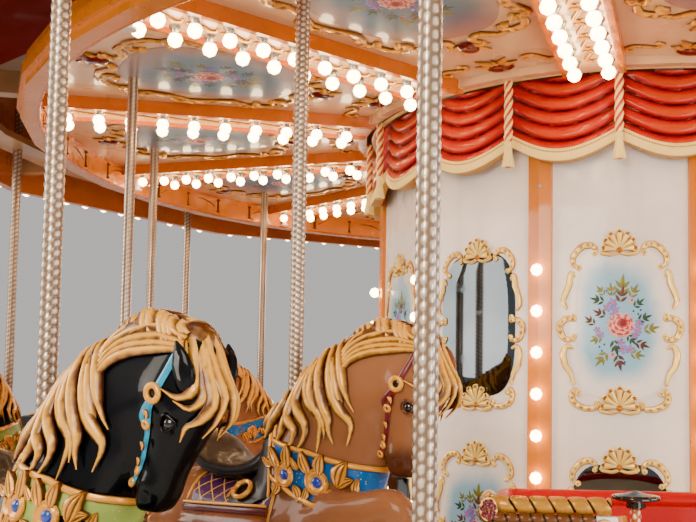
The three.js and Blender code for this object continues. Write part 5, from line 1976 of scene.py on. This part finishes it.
def make_horses(p, c):
    """The horses of both rows: skin, mane and tail, and tack, made once, thinned out most for the rides that stand
    far from the camera, and placed on every ride."""
    points, faces = horse_body()
    skin = Skin(points, faces)
    # Painted shade: the mask darkens the coat on the lower legs, on the lower part of the raised foreleg and on the
    # muzzle.
    low_leg = np.clip((0.56 - points[:, 2]) / 0.16, 0, 1)
    raised = np.clip((0.70 - points[:, 2]) / 0.12, 0, 1) * (points[:, 0] > 0.30) * (points[:, 1] < 0)
    muzzle = np.clip((0.990 - points[:, 2]) / 0.08, 0, 1) * (points[:, 0] > 0.335) * (points[:, 2] > 0.86)
    body = Surface(points, [faces], 0, np.clip(low_leg + raised + muzzle, 0, 1))
    bare = [body] + ears_and_eyes() + hooves(3)
    hair = mane(skin) + tail()
    torso = torso_skin()
    tack = collar(torso) + bridle(skin) + saddle(torso)
    eye = gloss_paint("eye_black", linear("120B08"), 0.05, 0.6, 30, 0.0, 1.0)
    hoof = gloss_paint("hoof_paint", linear("3A2A1C"), 0.3, 0.6, 20)
    looks = (
        (OUTER_ROW, 0.035, coat_paint("black_coat", c.black, linear("000102"), 0.4, 0.3), linear("6E6A66"),
         (linear("A6BE5C"), linear("1C44A8"), linear("4A1850"), linear("8A4400"), linear("0890B8"))),
        (INNER_ROW, -0.030, coat_paint("tan_coat", c.tan, linear("4A2612"), 0.22, 0.3), linear("7A4A30"),
         (linear("0068B8"), linear("1038B0"), linear("4A1850"), linear("8A4400"), linear("6A0610"))),
    )
    for row, reach, coat, inside, paints in looks:
        kind = row["kind"]
        # Painted shade, dark brown, in the grooves and under the locks; the mane gold on their tops is a painted
        # highlight.
        hair_gold = relief_paint(
            f"{kind}_mane_gold", linear("481C02"), c.mane, 0.24, 0.12, 0.15, (0.12, 0.82)
        )
        hollow = gloss_paint(f"{kind}_ear_hollow", inside, 0.4, 0.6, 30)
        materials = tack_paints(kind, *paints)
        full = [[shifted(s, reach) for s in group] for group in (bare, hair, tack)]
        close = [thinned(group, NEAR_SHARE) for group in full]
        far = [thinned(group, FAR_SHARE, 12) for group in full]
        for k, at in ride_places(row):
            own = close if near(at) else far
            ride = f"{kind}_ride_{k}"
            name = f"{kind}_horse_{k}"
            piece(
                f"{name}_coat", gathered(own[0], at), [coat, hollow, eye, hoof], ride,
                [name], 60
            )
            piece(f"{name}_mane", gathered(own[1], at), [hair_gold], ride, smooth=50)
            piece(f"{name}_tack", gathered(own[2], at), materials, ride, smooth=45)


# Chariots. A chariot's own frame: X along the travel, Y towards the axis, the origin in its middle at deck level.

CHARIOT_Z = 0.3003
SIDE_FACE = 0.38
OUTER_TOP = [
    (0.810, 0.430), (0.778, 0.470), (0.700, 0.484), (0.560, 0.455), (0.360, 0.410), (0.100, 0.396),
    (-0.160, 0.402), (-0.330, 0.450), (-0.440, 0.560), (-0.492, 0.700), (-0.512, 0.790), (-0.520, 0.848)
]
INNER_TOP = [(0.810, 0.430), (0.800, 0.520), (0.765, 0.610), (0.712, 0.700), (0.668, 0.762), (0.640, 0.788)]
FRONT_EDGE = [(0.750, 0.0), (0.772, 0.150), (0.795, 0.300), (0.810, 0.430)]
# Raised scrolls of the outer side in X and Z, with their half widths and ribs
SIDE_SCROLLS = [
    (
        [
            (-0.50, 0.16), (-0.56, 0.22), (-0.64, 0.18), (-0.67, 0.28), (-0.62, 0.42), (-0.66, 0.54),
            (-0.60, 0.60)
        ],
        0.026, 12
    ),
    (
        [
            (-0.46, 0.15), (-0.40, 0.24), (-0.46, 0.34), (-0.56, 0.40), (-0.54, 0.50), (-0.58, 0.66),
            (-0.66, 0.70), (-0.70, 0.64)
        ],
        0.022, 10
    ),
    (
        [
            (-0.36, 0.13), (-0.22, 0.11), (-0.08, 0.18), (0.04, 0.27), (0.16, 0.26), (0.17, 0.19),
            (0.11, 0.18)
        ],
        0.024, 12
    ),
    ([(-0.36, 0.20), (-0.28, 0.30), (-0.16, 0.33), (-0.08, 0.28), (-0.12, 0.23)], 0.018, 8),
    (
        [
            (0.70, 0.36), (0.66, 0.40), (0.58, 0.37), (0.58, 0.27), (0.48, 0.18), (0.36, 0.16),
            (0.30, 0.22), (0.36, 0.27)
        ],
        0.024, 12
    ),
    ([(0.66, 0.12), (0.62, 0.20), (0.68, 0.28), (0.74, 0.24), (0.71, 0.18)], 0.018, 8),
    ([(0.26, 0.10), (0.36, 0.09), (0.48, 0.11), (0.58, 0.09), (0.63, 0.14)], 0.016, 8),
]
INNER_SCROLLS = [
    ([(-0.64, 0.14), (-0.68, 0.26), (-0.60, 0.36), (-0.66, 0.50), (-0.58, 0.62), (-0.50, 0.56)], 0.026, 12),
    ([(-0.52, 0.13), (-0.36, 0.12), (-0.24, 0.24), (-0.10, 0.26), (-0.10, 0.18), (-0.16, 0.17)], 0.024, 12),
    ([(-0.40, 0.66), (-0.28, 0.70), (-0.16, 0.62), (-0.04, 0.66), (0.02, 0.60)], 0.020, 10),
    ([(0.10, 0.15), (0.26, 0.12), (0.38, 0.24), (0.52, 0.26), (0.52, 0.18), (0.46, 0.17)], 0.024, 12),
    ([(0.62, 0.16), (0.70, 0.26), (0.62, 0.38), (0.66, 0.50), (0.56, 0.60), (0.50, 0.54)], 0.024, 12),
    ([(0.10, 0.62), (0.22, 0.70), (0.34, 0.64), (0.44, 0.68), (0.50, 0.62)], 0.020, 10),
]


def upright(y):
    """Carries X, Y and Z of a flat shape to X, Z and the outside of a side that faces away from the axis."""
    return axes((0, y, 0), (1, 0, 0), (0, 0, 1), (0, -1, 0))


def tapered(surfaces):
    """Draws the rear end forward, the more the nearer the inner side."""
    for surface in surfaces:
        x, y = surface.points[:, 0], surface.points[:, 1]
        x += 0.1 * np.clip((-x - 0.45) / 0.25, 0, 1) * (y + 0.38) / 0.76
    return surfaces


def side_outline(top, back):
    """A side's outline, anticlockwise from its lower rear corner, under a top curve from the front to the rear."""
    front = spline(FRONT_EDGE, 8)[:-1]
    curve = spline(top, 34)
    rear = [(-0.750 - 0.04 * back / 0.85, back), (-0.750 - 0.02, 0.45)]
    return np.vstack([[(-0.750, 0.0)], front, curve, rear])


def gadrooned(path, radius, pitch, slant, sides=18):
    """A roll cut into lobes: narrow gaps across it, each a bell curve of the distance along the roll, which lean by
    the slant times the cosine of the angle round it."""
    path = np.asarray(path, float)
    _, side, normal = directions(path, (0, 0, 1))
    run = np.concatenate([[0], np.cumsum(np.linalg.norm(np.diff(path, axis=0), axis=1))])
    a = np.linspace(0, 2 * np.pi, sides, endpoint=False)
    at = (run[:, None] + slant * np.sin(a)) / pitch
    gap = np.abs(at - np.round(at)) * pitch
    notch = np.exp(-((gap / 0.0022) ** 2))
    crown = 1 - (2 * gap / pitch - 1) ** 2 * 0.10
    r = radius * (crown - 0.26 * notch)
    rings = path[:, None] + side[:, None] * (
        r * np.cos(a)
    )[..., None] + normal[:, None] * (r * np.sin(a))[..., None]
    # The value is 0 in the gaps, where the roll's paints put painted shade.
    return outward(loft(rings, 0, 1 - notch))


def rounded_path(stops, radius, step=0.003):
    """A level path through the stops with its corners rounded, at even steps."""
    stops = np.asarray(stops, float)
    points = [stops[0]]
    for before, corner, after in zip(stops, stops[1:], stops[2:]):
        a = corner + (before - corner) / np.linalg.norm(before - corner) * radius
        b = corner + (after - corner) / np.linalg.norm(after - corner) * radius
        t = np.linspace(0, 1, 14)[:, None]
        points += list((1 - t) ** 2 * a + 2 * t * (1 - t) * corner + t**2 * b)
    points = np.vstack([points, stops[-1:]])
    run = np.concatenate([[0], np.cumsum(np.linalg.norm(np.diff(points, axis=0), axis=1))])
    even = np.linspace(0, run[-1], int(run[-1] / step) + 1)
    return np.stack([np.interp(even, run, points[:, k]) for k in range(3)], -1)


def corner_flower():
    """The red flower carved on the roll's rear corner: two rings of curled petals round a gold middle."""
    parts = []
    for count, reach, size, height in ((7, 0.68, 0.40, 0.20), (5, 0.34, 0.34, 0.42)):
        for k in range(count):
            a = 2 * math.pi * k / count + 0.3 * count
            curl = turned([(0.5, -0.25), (1.0, 0.1), (0.95, 0.42), (0.55, 0.5), (0.2, 0.22)], 12, 1, 0.8)
            parts.append(
                curl.moved(
                    place(
                        reach * math.cos(a), 1.35 * reach * math.sin(a), height, math.degrees(a),
                        (size * 0.8, size, 0.55)
                    )
                )
            )
    parts.append(
        turned(
            [(0.95, -0.2), (1.0, 0.06), (0.7, 0.16)], 20, 0, 0.8
        ).moved(place(0, 0, 0, size=(1, 1.35, 1)))
    )
    parts.append(ball(0.16, 10, 6, 0).moved(place(0, 0, 0.72)))
    return parts


def carved(scrolls, depth):
    """Scrolls with their half widths and ribs, and a leaf over each one's rear end."""
    parts = []
    for stops, wide, ribs in scrolls:
        parts += scroll(np.array(stops), wide, depth, (1.15, 1.0), ribs, 40)
        (x0, y0), (x1, y1) = stops[0], stops[1]
        turn = math.degrees(math.atan2(y1 - y0, x1 - x0)) + 180
        for lean in (-38, 0, 38):
            blade = leaf(0).moved(place(0, 0, 0, 0, (3.6 * wide, 2.6 * wide, depth)))
            parts.append(blade.moved(place(x0, y0, 0.001, turn + lean)))
    return parts


def make_body():
    """The chariot's floor, sides, back and front. Tone 0 is cream and 1 the red of the lining."""
    outer, inner = side_outline(OUTER_TOP, 0.85), side_outline(INNER_TOP, 0.79)
    parts = [
        prism([(-0.75, -0.38), (0.75, -0.38), (0.75, 0.38), (-0.75, 0.38)], 0.0, 0.09),
        prism(outer, 0, 0.014).moved(upright(-SIDE_FACE + 0.014)),
        prism(outer, 0, 0.014, 1).moved(upright(-SIDE_FACE + 0.028)),
        prism(inner, 0, 0.014).moved(upright(SIDE_FACE)),
        prism(inner, 0, 0.014, 1).moved(upright(SIDE_FACE - 0.014)),
    ]
    low = [(-0.7872, 0.790), (-0.750, 0.0), (-0.722, 0.0), (-0.7592, 0.790)]
    high = [(-0.790, 0.850), (-0.780, 0.640), (-0.752, 0.640), (-0.762, 0.850)]
    front = [(0.722, 0.0), (0.750, 0.0), (0.810, 0.430), (0.782, 0.430)]
    for outline, y0, y1 in ((low, -0.352, 0.352), (high, -0.352, -0.268), (front, -0.352, 0.352)):
        parts.append(prism(outline, -y1, -y0).moved(upright(0)))
    return tapered(parts)


def make_trim():
    """Gilt on the chariot's outside: edge mouldings, scrolls, the lower roll's volute and a plinth bead."""
    parts = []
    for top, y, side in ((OUTER_TOP, -SIDE_FACE + 0.014, -1), (INNER_TOP, SIDE_FACE - 0.014, 1)):
        curve = spline(FRONT_EDGE[:-1] + top, 60)
        path = np.c_[curve[:, 0], np.full(60, y), curve[:, 1]]
        parts.append(outward(tube(path, 0.021, 0.0085, 10, (0, 1, 0))))
        low = np.array([(-0.75, side * 0.381, 0.012), (0.75, side * 0.381, 0.012)])
        line = low[0] + (low[1] - low[0]) * np.linspace(0, 1, 6)[:, None]
        parts.append(outward(tube(line, 0.006, 0.012, 8, (0, 0, 1))))
    parts += gathered(carved(SIDE_SCROLLS, 0.016), upright(-SIDE_FACE))
    turned_in = axes((0, SIDE_FACE, 0), (-1, 0, 0), (0, 0, 1), (0, 1, 0)) @ np.diag([-1.0, 1, 1, 1])
    parts += gathered(carved(INNER_SCROLLS, 0.016), turned_in @ place(-0.006, 0, 0))
    volute = scroll(
        np.array(
            [
                (-0.512, 0.790), (-0.528, 0.826), (-0.548, 0.838), (-0.562, 0.828), (-0.556, 0.816),
                (-0.546, 0.820)
            ]
        ),
        0.0075, 0.010, (0.3, 1.2), 0, 30
    )
    parts += gathered(volute, upright(-SIDE_FACE - 0.001))
    facing = axes((0.7855, 0, 0.250), (0, 1, 0), (0.137, 0, 0.9906), (0.9906, 0, -0.137))
    crest = mirrored(
        scroll(
            np.array(
                [(0.03, -0.12), (0.10, -0.14), (0.20, -0.06), (0.26, 0.06), (0.20, 0.11), (0.15, 0.06)]
            ),
            0.022, 0.014, (1, 1.1), 10, 34
        )
    )
    crest += gathered(shell(0.20, 0.16, depth=0.018), place(0, 0.02, 0))
    parts += gathered(crest, facing)
    rear = axes((-0.7705, 0, 0.42), (0, -1, 0), (-0.047, 0, 0.9989), (-0.9989, 0, -0.047))
    fan = mirrored(
        scroll(
            np.array(
                [
                    (0.04, -0.24), (0.14, -0.28), (0.26, -0.16), (0.29, 0.04), (0.22, 0.20), (0.12, 0.16),
                    (0.14, 0.08)
                ]
            ),
            0.026, 0.016, (1, 1.1), 14, 44
        )
    )
    fan += gathered(shell(0.24, 0.18, depth=0.02), place(0, 0.14, 0))
    return tapered(parts + gathered(fan, rear))


def cushion(x, y, z):
    """A block with rounded corners, from its ranges along the three axes."""
    half = [0.5 * (b - a) for a, b in (x, y, z)]
    middle = [0.5 * (a + b) for a, b in (x, y, z)]
    outline = rounded_outline(half[0], half[1], 9.0, 48)
    shares = ((0.90, -1.0), (0.97, -0.86), (1.0, -0.55), (1.0, 0.55), (0.97, 0.86), (0.90, 1.0))
    return loft([np.c_[outline * s, np.full(48, h * half[2])] for s, h in shares]).moved(place(*middle))


CLOTH_STEPS = 20
PAD_SHARE = 0.1  # of the subdivided pads' triangles


def swollen(surfaces, voxel, cap):
    """Pads blown up as cloth under pressure, no point moved by more than the cap, then one subdivision, thinned
    out to PAD_SHARE of it."""
    points, _, faces = merged(surfaces, voxel, 2)
    whole = Surface(points, [faces])
    made = rough_object([whole])
    cloth = made.modifiers.new("cloth", "CLOTH")
    cloth.settings.use_pressure = True
    cloth.settings.uniform_pressure_force = 4.0
    cloth.settings.effector_weights.gravity = 0.0
    cloth.settings.quality = 4
    cloth.point_cache.frame_start, cloth.point_cache.frame_end = 1, CLOTH_STEPS
    for step in range(1, CLOTH_STEPS + 1):
        bpy.context.scene.frame_set(step)
    after = made.evaluated_get(bpy.context.evaluated_depsgraph_get()).to_mesh()
    shift = np.nan_to_num(read(after.vertices, "co", 3) - points)
    bpy.data.objects.remove(made)
    bpy.context.scene.frame_set(1)
    length = np.maximum(np.linalg.norm(shift, axis=1), 1e-9)[:, None]
    whole.points = points + shift * np.minimum(1, cap / length)
    rough = rough_object([whole])
    finer = rough.modifiers.new("finer", "SUBSURF")
    finer.levels = finer.render_levels = 1
    mesh = result_of(rough)
    quads = read(mesh.loops, "vertex_index", 1, int).reshape(-1, 4)
    return thinned([Surface(read(mesh.vertices, "co", 3), [quads])], PAD_SHARE)[0]


def make_cushions():
    """The chariot's pads: the rear seat and its back, the bench, and the long pad along the inner side."""
    back = cushion((-0.028, 0.028), (-0.335, 0.268), (0.445, 0.785))
    back = back.moved(place(-0.715, 0, 0))
    back.points[:, 0] -= 0.047 * (back.points[:, 2] - 0.43)
    pads = [
        back,
        cushion((-0.690, -0.442), (-0.340, 0.340), (0.345, 0.398)),
        cushion((-0.425, 0.078), (0.108, 0.280), (0.345, 0.398)),
        cushion((-0.668, 0.565), (0.298, 0.340), (0.430, 0.775)),
    ]
    return swollen(tapered(pads), 0.0095, 0.014)


def vinyl(c):
    """Glossy red upholstery with a fine leather grain and duller rubbed patches."""
    f = Finish("upholstery_vinyl", 0.3, coat=0.06)
    f.shader.inputs["Specular IOR Level"].default_value = 0.15
    f.colour(f.mix(f.ramp(f.noise(3, 4), 0.35, 0.7), c.seat_red, shade(c.seat_red, 0.82)))
    f.rough(f.ramp(f.noise(8, 4), 0.3, 0.75, 0.24, 0.42))
    grain = f.node("ShaderNodeTexVoronoi", {"Vector": f.place(), "Scale": 420.0}).outputs["Distance"]
    return f.bump(grain, 0.12, 0.0006).material


def make_chariots(p, c):
    """Both chariots: curved body, gilt carving, gadrooned roll with its corner flowers, pads and the grip post."""
    cream = gloss_paint("chariot_cream_paint", c.cream, 0.22, 0.86, 4.0)
    lining = gloss_paint("chariot_lining_paint", c.seat_red, 0.3, 0.75, 4.0, coat=0.15)
    # Painted shade in the hollows of the gilt carving and a painted highlight on its raised parts.
    gilt = relief_paint("chariot_gilt", c.gilt_shade, c.gilt_high)
    # The roll's gaps are near black as painted shade.
    roll_gilt = relief_paint("roll_gilt", linear("140602"), linear("BE8428"), 0.2, 0.35, 0.12, (0.3, 0.95))
    # The lower gadroons sit in the roll's shadow, so their gilt is darkened all over as painted shade.
    lower_gilt_in_shade = relief_paint("lower_roll_gilt_in_shade", linear("140602"), linear("6A3C14"), 0.25, 0.3, 0.12, (0.25, 0.8))
    flower_red = gloss_paint("corner_flower_red", linear("7C0008"), 0.16, 0.45, 40, 0.1, 0.8)
    red = vinyl(c)
    black = gloss_paint("grip_black", linear("0C0C0D"), 0.16, 0.6, 30, 0.05, 0.7)
    beads = relief_paint("grip_post_gilt", linear("C8641E"), linear("F6E7CC"), 0.24, 0.3, 0.1, (0.2, 0.7))

    body, trim, pads = make_body(), thinned(make_trim(), 0.35), make_cushions()
    corners = rounded_path(
        [(-0.533, -0.366, 0.8685), (-0.776, -0.366, 0.8685), (-0.776, -0.270, 0.8685)],
        0.045, 0.0016
    )
    roll = gadrooned(corners, 0.0195, 0.0405, -0.009, 30)
    lower = rounded_path(
        [(-0.566, -0.3815, 0.8420), (-0.794, -0.3815, 0.8420), (-0.794, -0.2750, 0.8420)],
        0.030
    )
    small = gadrooned(lower, 0.0125, 0.0265, -0.003, 12)
    flower = [
        s.moved(axes((x, y, z), (-side, 0, 0), (0, 0, 1), (0, side, 0)) @ np.diag([size, size, 0.014, 1.0]))
        for x, y, z, side, size in (
            (-0.788, -0.384, 0.860, -1, 0.0185), (-0.776, -0.274, 0.8685, 1, 0.0165)
        )
        for s in corner_flower()
    ]
    box = [
        prism([(-0.721, -0.351), (-0.437, -0.351), (-0.437, 0.351), (-0.721, 0.351)], 0.0903, 0.352),
        prism([(-0.4365, 0.095), (0.088, 0.095), (0.088, 0.351), (-0.4365, 0.351)], 0.0903, 0.352),
        prism([(-0.655, 0.302), (0.572, 0.302), (0.572, 0.3515), (-0.655, 0.3515)], 0.0903, 0.80),
    ]
    edge = rounded_path(
        [(0.627, 0.366, 0.8130), (-0.772, 0.366, 0.8130), (-0.772, -0.240, 0.8130)],
        0.040, 0.012
    )
    t = np.linspace(0, 1, len(edge))
    round_end = np.clip(np.sqrt(np.clip(np.minimum(t, 1 - t) * 2.0 / 0.022, 0, 1)), 0.25, 1)
    box.append(outward(tube(edge, 0.0235 * round_end, 0.0235 * round_end, 16)))
    box = tapered(box)
    rim = rounded_path(
        [(-0.432, -0.350, 0.3535), (-0.432, 0.090, 0.3535), (0.092, 0.090, 0.3535), (0.092, 0.350, 0.3535)],
        0.012, 0.01
    )
    piping = [outward(tube(rim, 0.005, 0.005, 8))]
    rod = embossed(0.0110, 0.0028, 0.0200, 0.106, 0.831, 6, 4, 5)
    foot = turned(
        [(0.028, 0.0904), (0.0295, 0.094), (0.026, 0.101), (0.016, 0.106), (0.0125, 0.112)],
        24, 0, 0.7
    )
    a = np.linspace(0, 2 * np.pi, 64, endpoint=False)
    knurl = 1 + 0.012 * np.cos(16 * a)
    wheel = [
        (0.0125, 0.826), (0.0235, 0.832), (0.0225, 0.846), (0.0500, 0.8485), (0.0575, 0.852),
        (0.0580, 0.856), (0.0560, 0.860), (0.0480, 0.8625), (0.0240, 0.865), (0.0060, 0.8715)
    ]
    rings = [
        np.c_[
            r * (knurl if r > 0.045 else 1) * np.cos(a), r * (knurl if r > 0.045 else 1) * np.sin(a),
            np.full(64, z)
        ]
        for r, z in wheel
    ]
    disc = loft(rings, 1)
    grip = [s.moved(place(-0.398, -0.020, 0)) for s in (rod, foot, disc)]
    for k, turn in enumerate(CHARIOT_TURNS, 1):
        at = ride_frame(turn, CHARIOT_RADIUS, CHARIOT_Z)
        if not near(at):
            trim, grip = thinned(trim, 0.4), thinned(grip, 0.3)
            roll, small, pads = thinned([roll, small, pads], 0.4)
        piece(
            f"curved_body_{k}", gathered(body, at), [cream, lining], "turntable",
            [f"chariot_body_{k}"], 35
        )
        piece(f"chariot_carving_{k}", gathered(trim, at), [gilt], "turntable", smooth=45)
        piece(
            f"gadrooned_roll_{k}", [roll.moved(at)], [roll_gilt], "turntable",
            [f"chariot_roll_{k}"], 60
        )
        piece(f"lower_gadroons_{k}", [small.moved(at)], [lower_gilt_in_shade], "turntable", smooth=60)
        piece(f"corner_flowers_{k}", gathered(flower, at), [gilt, flower_red], "turntable", smooth=50)
        piece(
            f"seat_boxes_{k}", gathered(box + piping, at), [red], "turntable",
            [f"chariot_seat_{k}"], 40
        )
        padded = piece(f"chariot_cushions_{k}", [pads.moved(at)], [red], "turntable", smooth=70)
        piece(
            f"beaded_grip_post_{k}", gathered(grip, at), [beads, black], "turntable",
            [f"grip_post_{k}"], 50
        )


# Stage


def make_stage(p, c):
    """A plain pale floor, pale surroundings, soft lights round the ride, and the camera."""
    scene = bpy.context.scene
    ground = Surface([(-30, -30, 0), (30, -30, 0), (30, 30, 0), (-30, 30, 0)], [[[0, 1, 2, 3]]])
    plain = Finish("stage_plain", 0.7)
    plain.colour(plain.mix(plain.noise(0.8, 2), linear("D9D6D2"), linear("D3D0CC")))
    floor = bpy.data.objects.new("stage_floor", mesh_of("stage_floor", [ground], [plain.material]))
    scene.collection.objects.link(floor)
    world = bpy.data.worlds.new("stage_world")
    world.use_nodes = True
    world.node_tree.nodes["Background"].inputs[0].default_value = (*linear("E6E2DE"), 1.0)
    world.node_tree.nodes["Background"].inputs[1].default_value = p.sky
    scene.world = world
    lights = (
        ("key", (-1.2, -6.4, 2.9), (0.0, -1.0, 1.5), 2.2, 160, "FFF1DC"),
        ("fill", (3.2, -5.2, 1.2), (0.2, -1.5, 1.6), 2.0, 60, "FFF4E6"),
        ("left", (-7.5, -2.5, 3.5), (-0.5, 0, 1.5), 4.0, 260, "FFF2E6"),
        ("right", (7.5, -1.0, 3.5), (0.5, 0, 1.5), 4.0, 260, "F2F4FF"),
        ("back", (0.5, 8.5, 4.5), (0, 0, 1.8), 5.0, 320, "FFF6EC"),
        ("top", (0, -2.0, 9.0), (0, 0, 3.0), 6.0, 420, "FFFFFF"),
    )
    for name, at, to, size, power, tint in lights:
        lamp_data = bpy.data.lights.new(name, "AREA")
        lamp_data.size = size
        lamp_data.energy = power * p.lamps
        lamp_data.color = linear(tint)
        made = bpy.data.objects.new(name, lamp_data)
        aim = np.array(to, float) - np.array(at, float)
        z = -aim / np.linalg.norm(aim)
        x = np.cross((0, 0, 1), z)
        x /= max(np.linalg.norm(x), 1e-6)
        made.matrix_world = Matrix(axes(at, x, np.cross(z, x), z).tolist())
        scene.collection.objects.link(made)
    make_camera(p)


def make_camera(p):
    """The camera where the photograph was taken from: beside the deck, at about 1.4 m, looking in past the poles."""
    yaw, pitch, roll = np.radians((CAMERA_TURN, CAMERA_TILT, CAMERA_ROLL)).tolist()
    right0 = np.array((math.cos(yaw), math.sin(yaw), 0))
    ahead0 = np.array((-math.sin(yaw), math.cos(yaw), 0))
    up = np.array((0, 0, 1.0))
    ahead = ahead0 * math.cos(pitch) + up * math.sin(pitch)
    high = -ahead0 * math.sin(pitch) + up * math.cos(pitch)
    right = right0 * math.cos(roll) + high * math.sin(roll)
    high = -right0 * math.sin(roll) + high * math.cos(roll)
    data = bpy.data.cameras.new("photo_camera")
    data.lens = p.lens
    data.sensor_width = 36.0
    data.shift_y = CAMERA_SHIFT
    data.clip_start = 0.05
    made = bpy.data.objects.new("photo_camera", data)
    made.matrix_world = Matrix(axes((*CAMERA_PLACE, EYE_HEIGHT), right, high, -ahead).tolist())
    bpy.context.scene.collection.objects.link(made)
    bpy.context.scene.camera = made


# Add-on


def colour_field(name, text, about):
    """A colour that a user may change."""
    return FloatVectorProperty(
        name=name, description=about, subtype="COLOR", size=3, min=0, max=1, default=linear(text)
    )


class CarouselSizes(bpy.types.PropertyGroup):
    bulb_radius: FloatProperty(
        name="Bulb radius", description="Radius of a bulb's globe", default=0.024, unit="LENGTH"
    )
    swag_folds: FloatProperty(
        name="Swag folds", description="Folds down each swag of the drapery", default=5.7, min=2, max=10
    )
    lens: FloatProperty(name="Lens", description="Focal length of the camera in millimetres", default=52.71)
    sky: FloatProperty(name="Sky", description="Strength of the pale surroundings", default=0.72, min=0)
    lamps: FloatProperty(
        name="Lamps", description="Strength of the studio lamps, as a share", default=1.35, min=0
    )


class CarouselColours(bpy.types.PropertyGroup):
    cream: colour_field("Cream", "FFF8F2", "Paint of the core's panels")
    peach: colour_field("Peach", "F0C496", "Paint of the ceiling")
    orange: colour_field("Orange", "D06A00", "Paint of mouldings and boards")
    post: colour_field("Post orange", "E08000", "Paint of the core's posts")
    rim: colour_field("Rim", "DE7E0C", "Paint of the rim round the ceiling")
    # Painted shade in the drapery's grooves, the drapery's red, and the painted highlight where its folds stand out
    # most.
    red_shade: colour_field("Fold red", "480000", "Drapery in the folds")
    red_high: colour_field("Drapery red", "B40000", "Drapery on the folds")
    red_highlight: colour_field("Fold light", "D04A00", "Drapery where the folds stand out most")
    seat_red: colour_field("Seat red", "C40000", "Upholstery and lining of the chariots")
    cord: colour_field("Cord", "FFE690", "Fringe, ropes and tassels")
    # Painted shade of the carving's hollows, and the gilt of its raised parts, which carries a painted highlight.
    gilt_shade: colour_field("Dark gilt", "B06C08", "Hollows of the carving")
    gilt_high: colour_field("Gilt", "FFE07C", "Raised parts of the carving")
    field_blue: colour_field("Pale blue", "8AC0E0", "Middle of the core's pictures")
    ceiling_blue: colour_field("Grey blue", "386C90", "Middle of the ceiling's pictures")
    pole_low: colour_field("Pole shade", "7E6650", "Poles between the bosses")
    # Painted highlight on the poles' bosses.
    pole_highlight: colour_field("Pole light", "E6D2BC", "Poles on the bosses")
    deck: colour_field("Deck", "8A6443", "Boards of the deck")
    bulb: colour_field("Bulb light", "FFDCA8", "Light of the bulbs")
    black: colour_field("Black coat", "010205", "Coat of the outer horses")
    tan: colour_field("Tan coat", "8E5A38", "Coat of the inner horses")
    mane: colour_field("Mane gold", "EEAA3A", "Manes and tails")


class CarouselOperator:
    """What every operator here shares: it calls its maker and raises an error when that can't finish."""

    bl_options = {"REGISTER", "UNDO"}
    maker = None

    def execute(self, context):
        type(self).maker(context.scene.carousel_sizes, context.scene.carousel_colours)
        return {"FINISHED"}


class CAROUSEL_OT_stage(CarouselOperator, bpy.types.Operator):
    """Add the floor, the lights and the camera"""

    bl_idname = "carousel.stage"
    bl_label = "Stage"
    maker = make_stage


class CAROUSEL_OT_core(CarouselOperator, bpy.types.Operator):
    """Dress the standing core with its frames, pictures, mirrors and bulbs"""

    bl_idname = "carousel.core"
    bl_label = "Core"
    maker = make_core


class CAROUSEL_OT_drapery(CarouselOperator, bpy.types.Operator):
    """Hang the moulded swags with their fringe, ropes and tassels"""

    bl_idname = "carousel.drapery"
    bl_label = "Drapery"
    maker = make_drapery


class CAROUSEL_OT_ceiling(CarouselOperator, bpy.types.Operator):
    """Dress the ceiling, its light beams and its rim"""

    bl_idname = "carousel.ceiling"
    bl_label = "Ceiling"
    maker = make_ceiling


class CAROUSEL_OT_roof(CarouselOperator, bpy.types.Operator):
    """Dress the rounding boards, the roof and the finial"""

    bl_idname = "carousel.roof"
    bl_label = "Roof"
    maker = make_roof


class CAROUSEL_OT_deck(CarouselOperator, bpy.types.Operator):
    """Dress the deck and the frame under it"""

    bl_idname = "carousel.deck"
    bl_label = "Deck"
    maker = make_deck


class CAROUSEL_OT_poles(CarouselOperator, bpy.types.Operator):
    """Make the embossed poles"""

    bl_idname = "carousel.poles"
    bl_label = "Poles"
    maker = make_poles


class CAROUSEL_OT_horses(CarouselOperator, bpy.types.Operator):
    """Make the horses of both rows with their manes and tack"""

    bl_idname = "carousel.horses"
    bl_label = "Horses"
    maker = make_horses


class CAROUSEL_OT_chariots(CarouselOperator, bpy.types.Operator):
    """Dress the two chariots"""

    bl_idname = "carousel.chariots"
    bl_label = "Chariots"
    maker = make_chariots


STEPS = (
    CAROUSEL_OT_stage,
    CAROUSEL_OT_core,
    CAROUSEL_OT_drapery,
    CAROUSEL_OT_ceiling,
    CAROUSEL_OT_roof,
    CAROUSEL_OT_deck,
    CAROUSEL_OT_poles,
    CAROUSEL_OT_horses,
    CAROUSEL_OT_chariots,
)


class CAROUSEL_PT_panel(bpy.types.Panel):
    """Sizes, colours and steps of the carousel"""

    bl_idname = "CAROUSEL_PT_panel"
    bl_label = "Fairground carousel"
    bl_space_type = "VIEW_3D"
    bl_region_type = "UI"
    bl_category = "Carousel"

    def draw(self, context):
        for group in (context.scene.carousel_sizes, context.scene.carousel_colours):
            column = self.layout.column()
            for name in group.bl_rna.properties.keys():
                if name not in ("rna_type", "name"):
                    column.prop(group, name)
        for step in STEPS:
            self.layout.operator(step.bl_idname)


CLASSES = (CarouselSizes, CarouselColours, *STEPS, CAROUSEL_PT_panel)


def register():
    for made in CLASSES:
        bpy.utils.register_class(made)
    bpy.types.Scene.carousel_sizes = PointerProperty(type=CarouselSizes)
    bpy.types.Scene.carousel_colours = PointerProperty(type=CarouselColours)


def unregister():
    del bpy.types.Scene.carousel_colours
    del bpy.types.Scene.carousel_sizes
    for made in reversed(CLASSES):
        bpy.utils.unregister_class(made)


def main():
    """Runs every step in order."""
    register()
    for step in STEPS:
        name = step.bl_idname.split(".")[1]
        getattr(bpy.ops.carousel, name)()


if __name__ == "__main__":
    main()
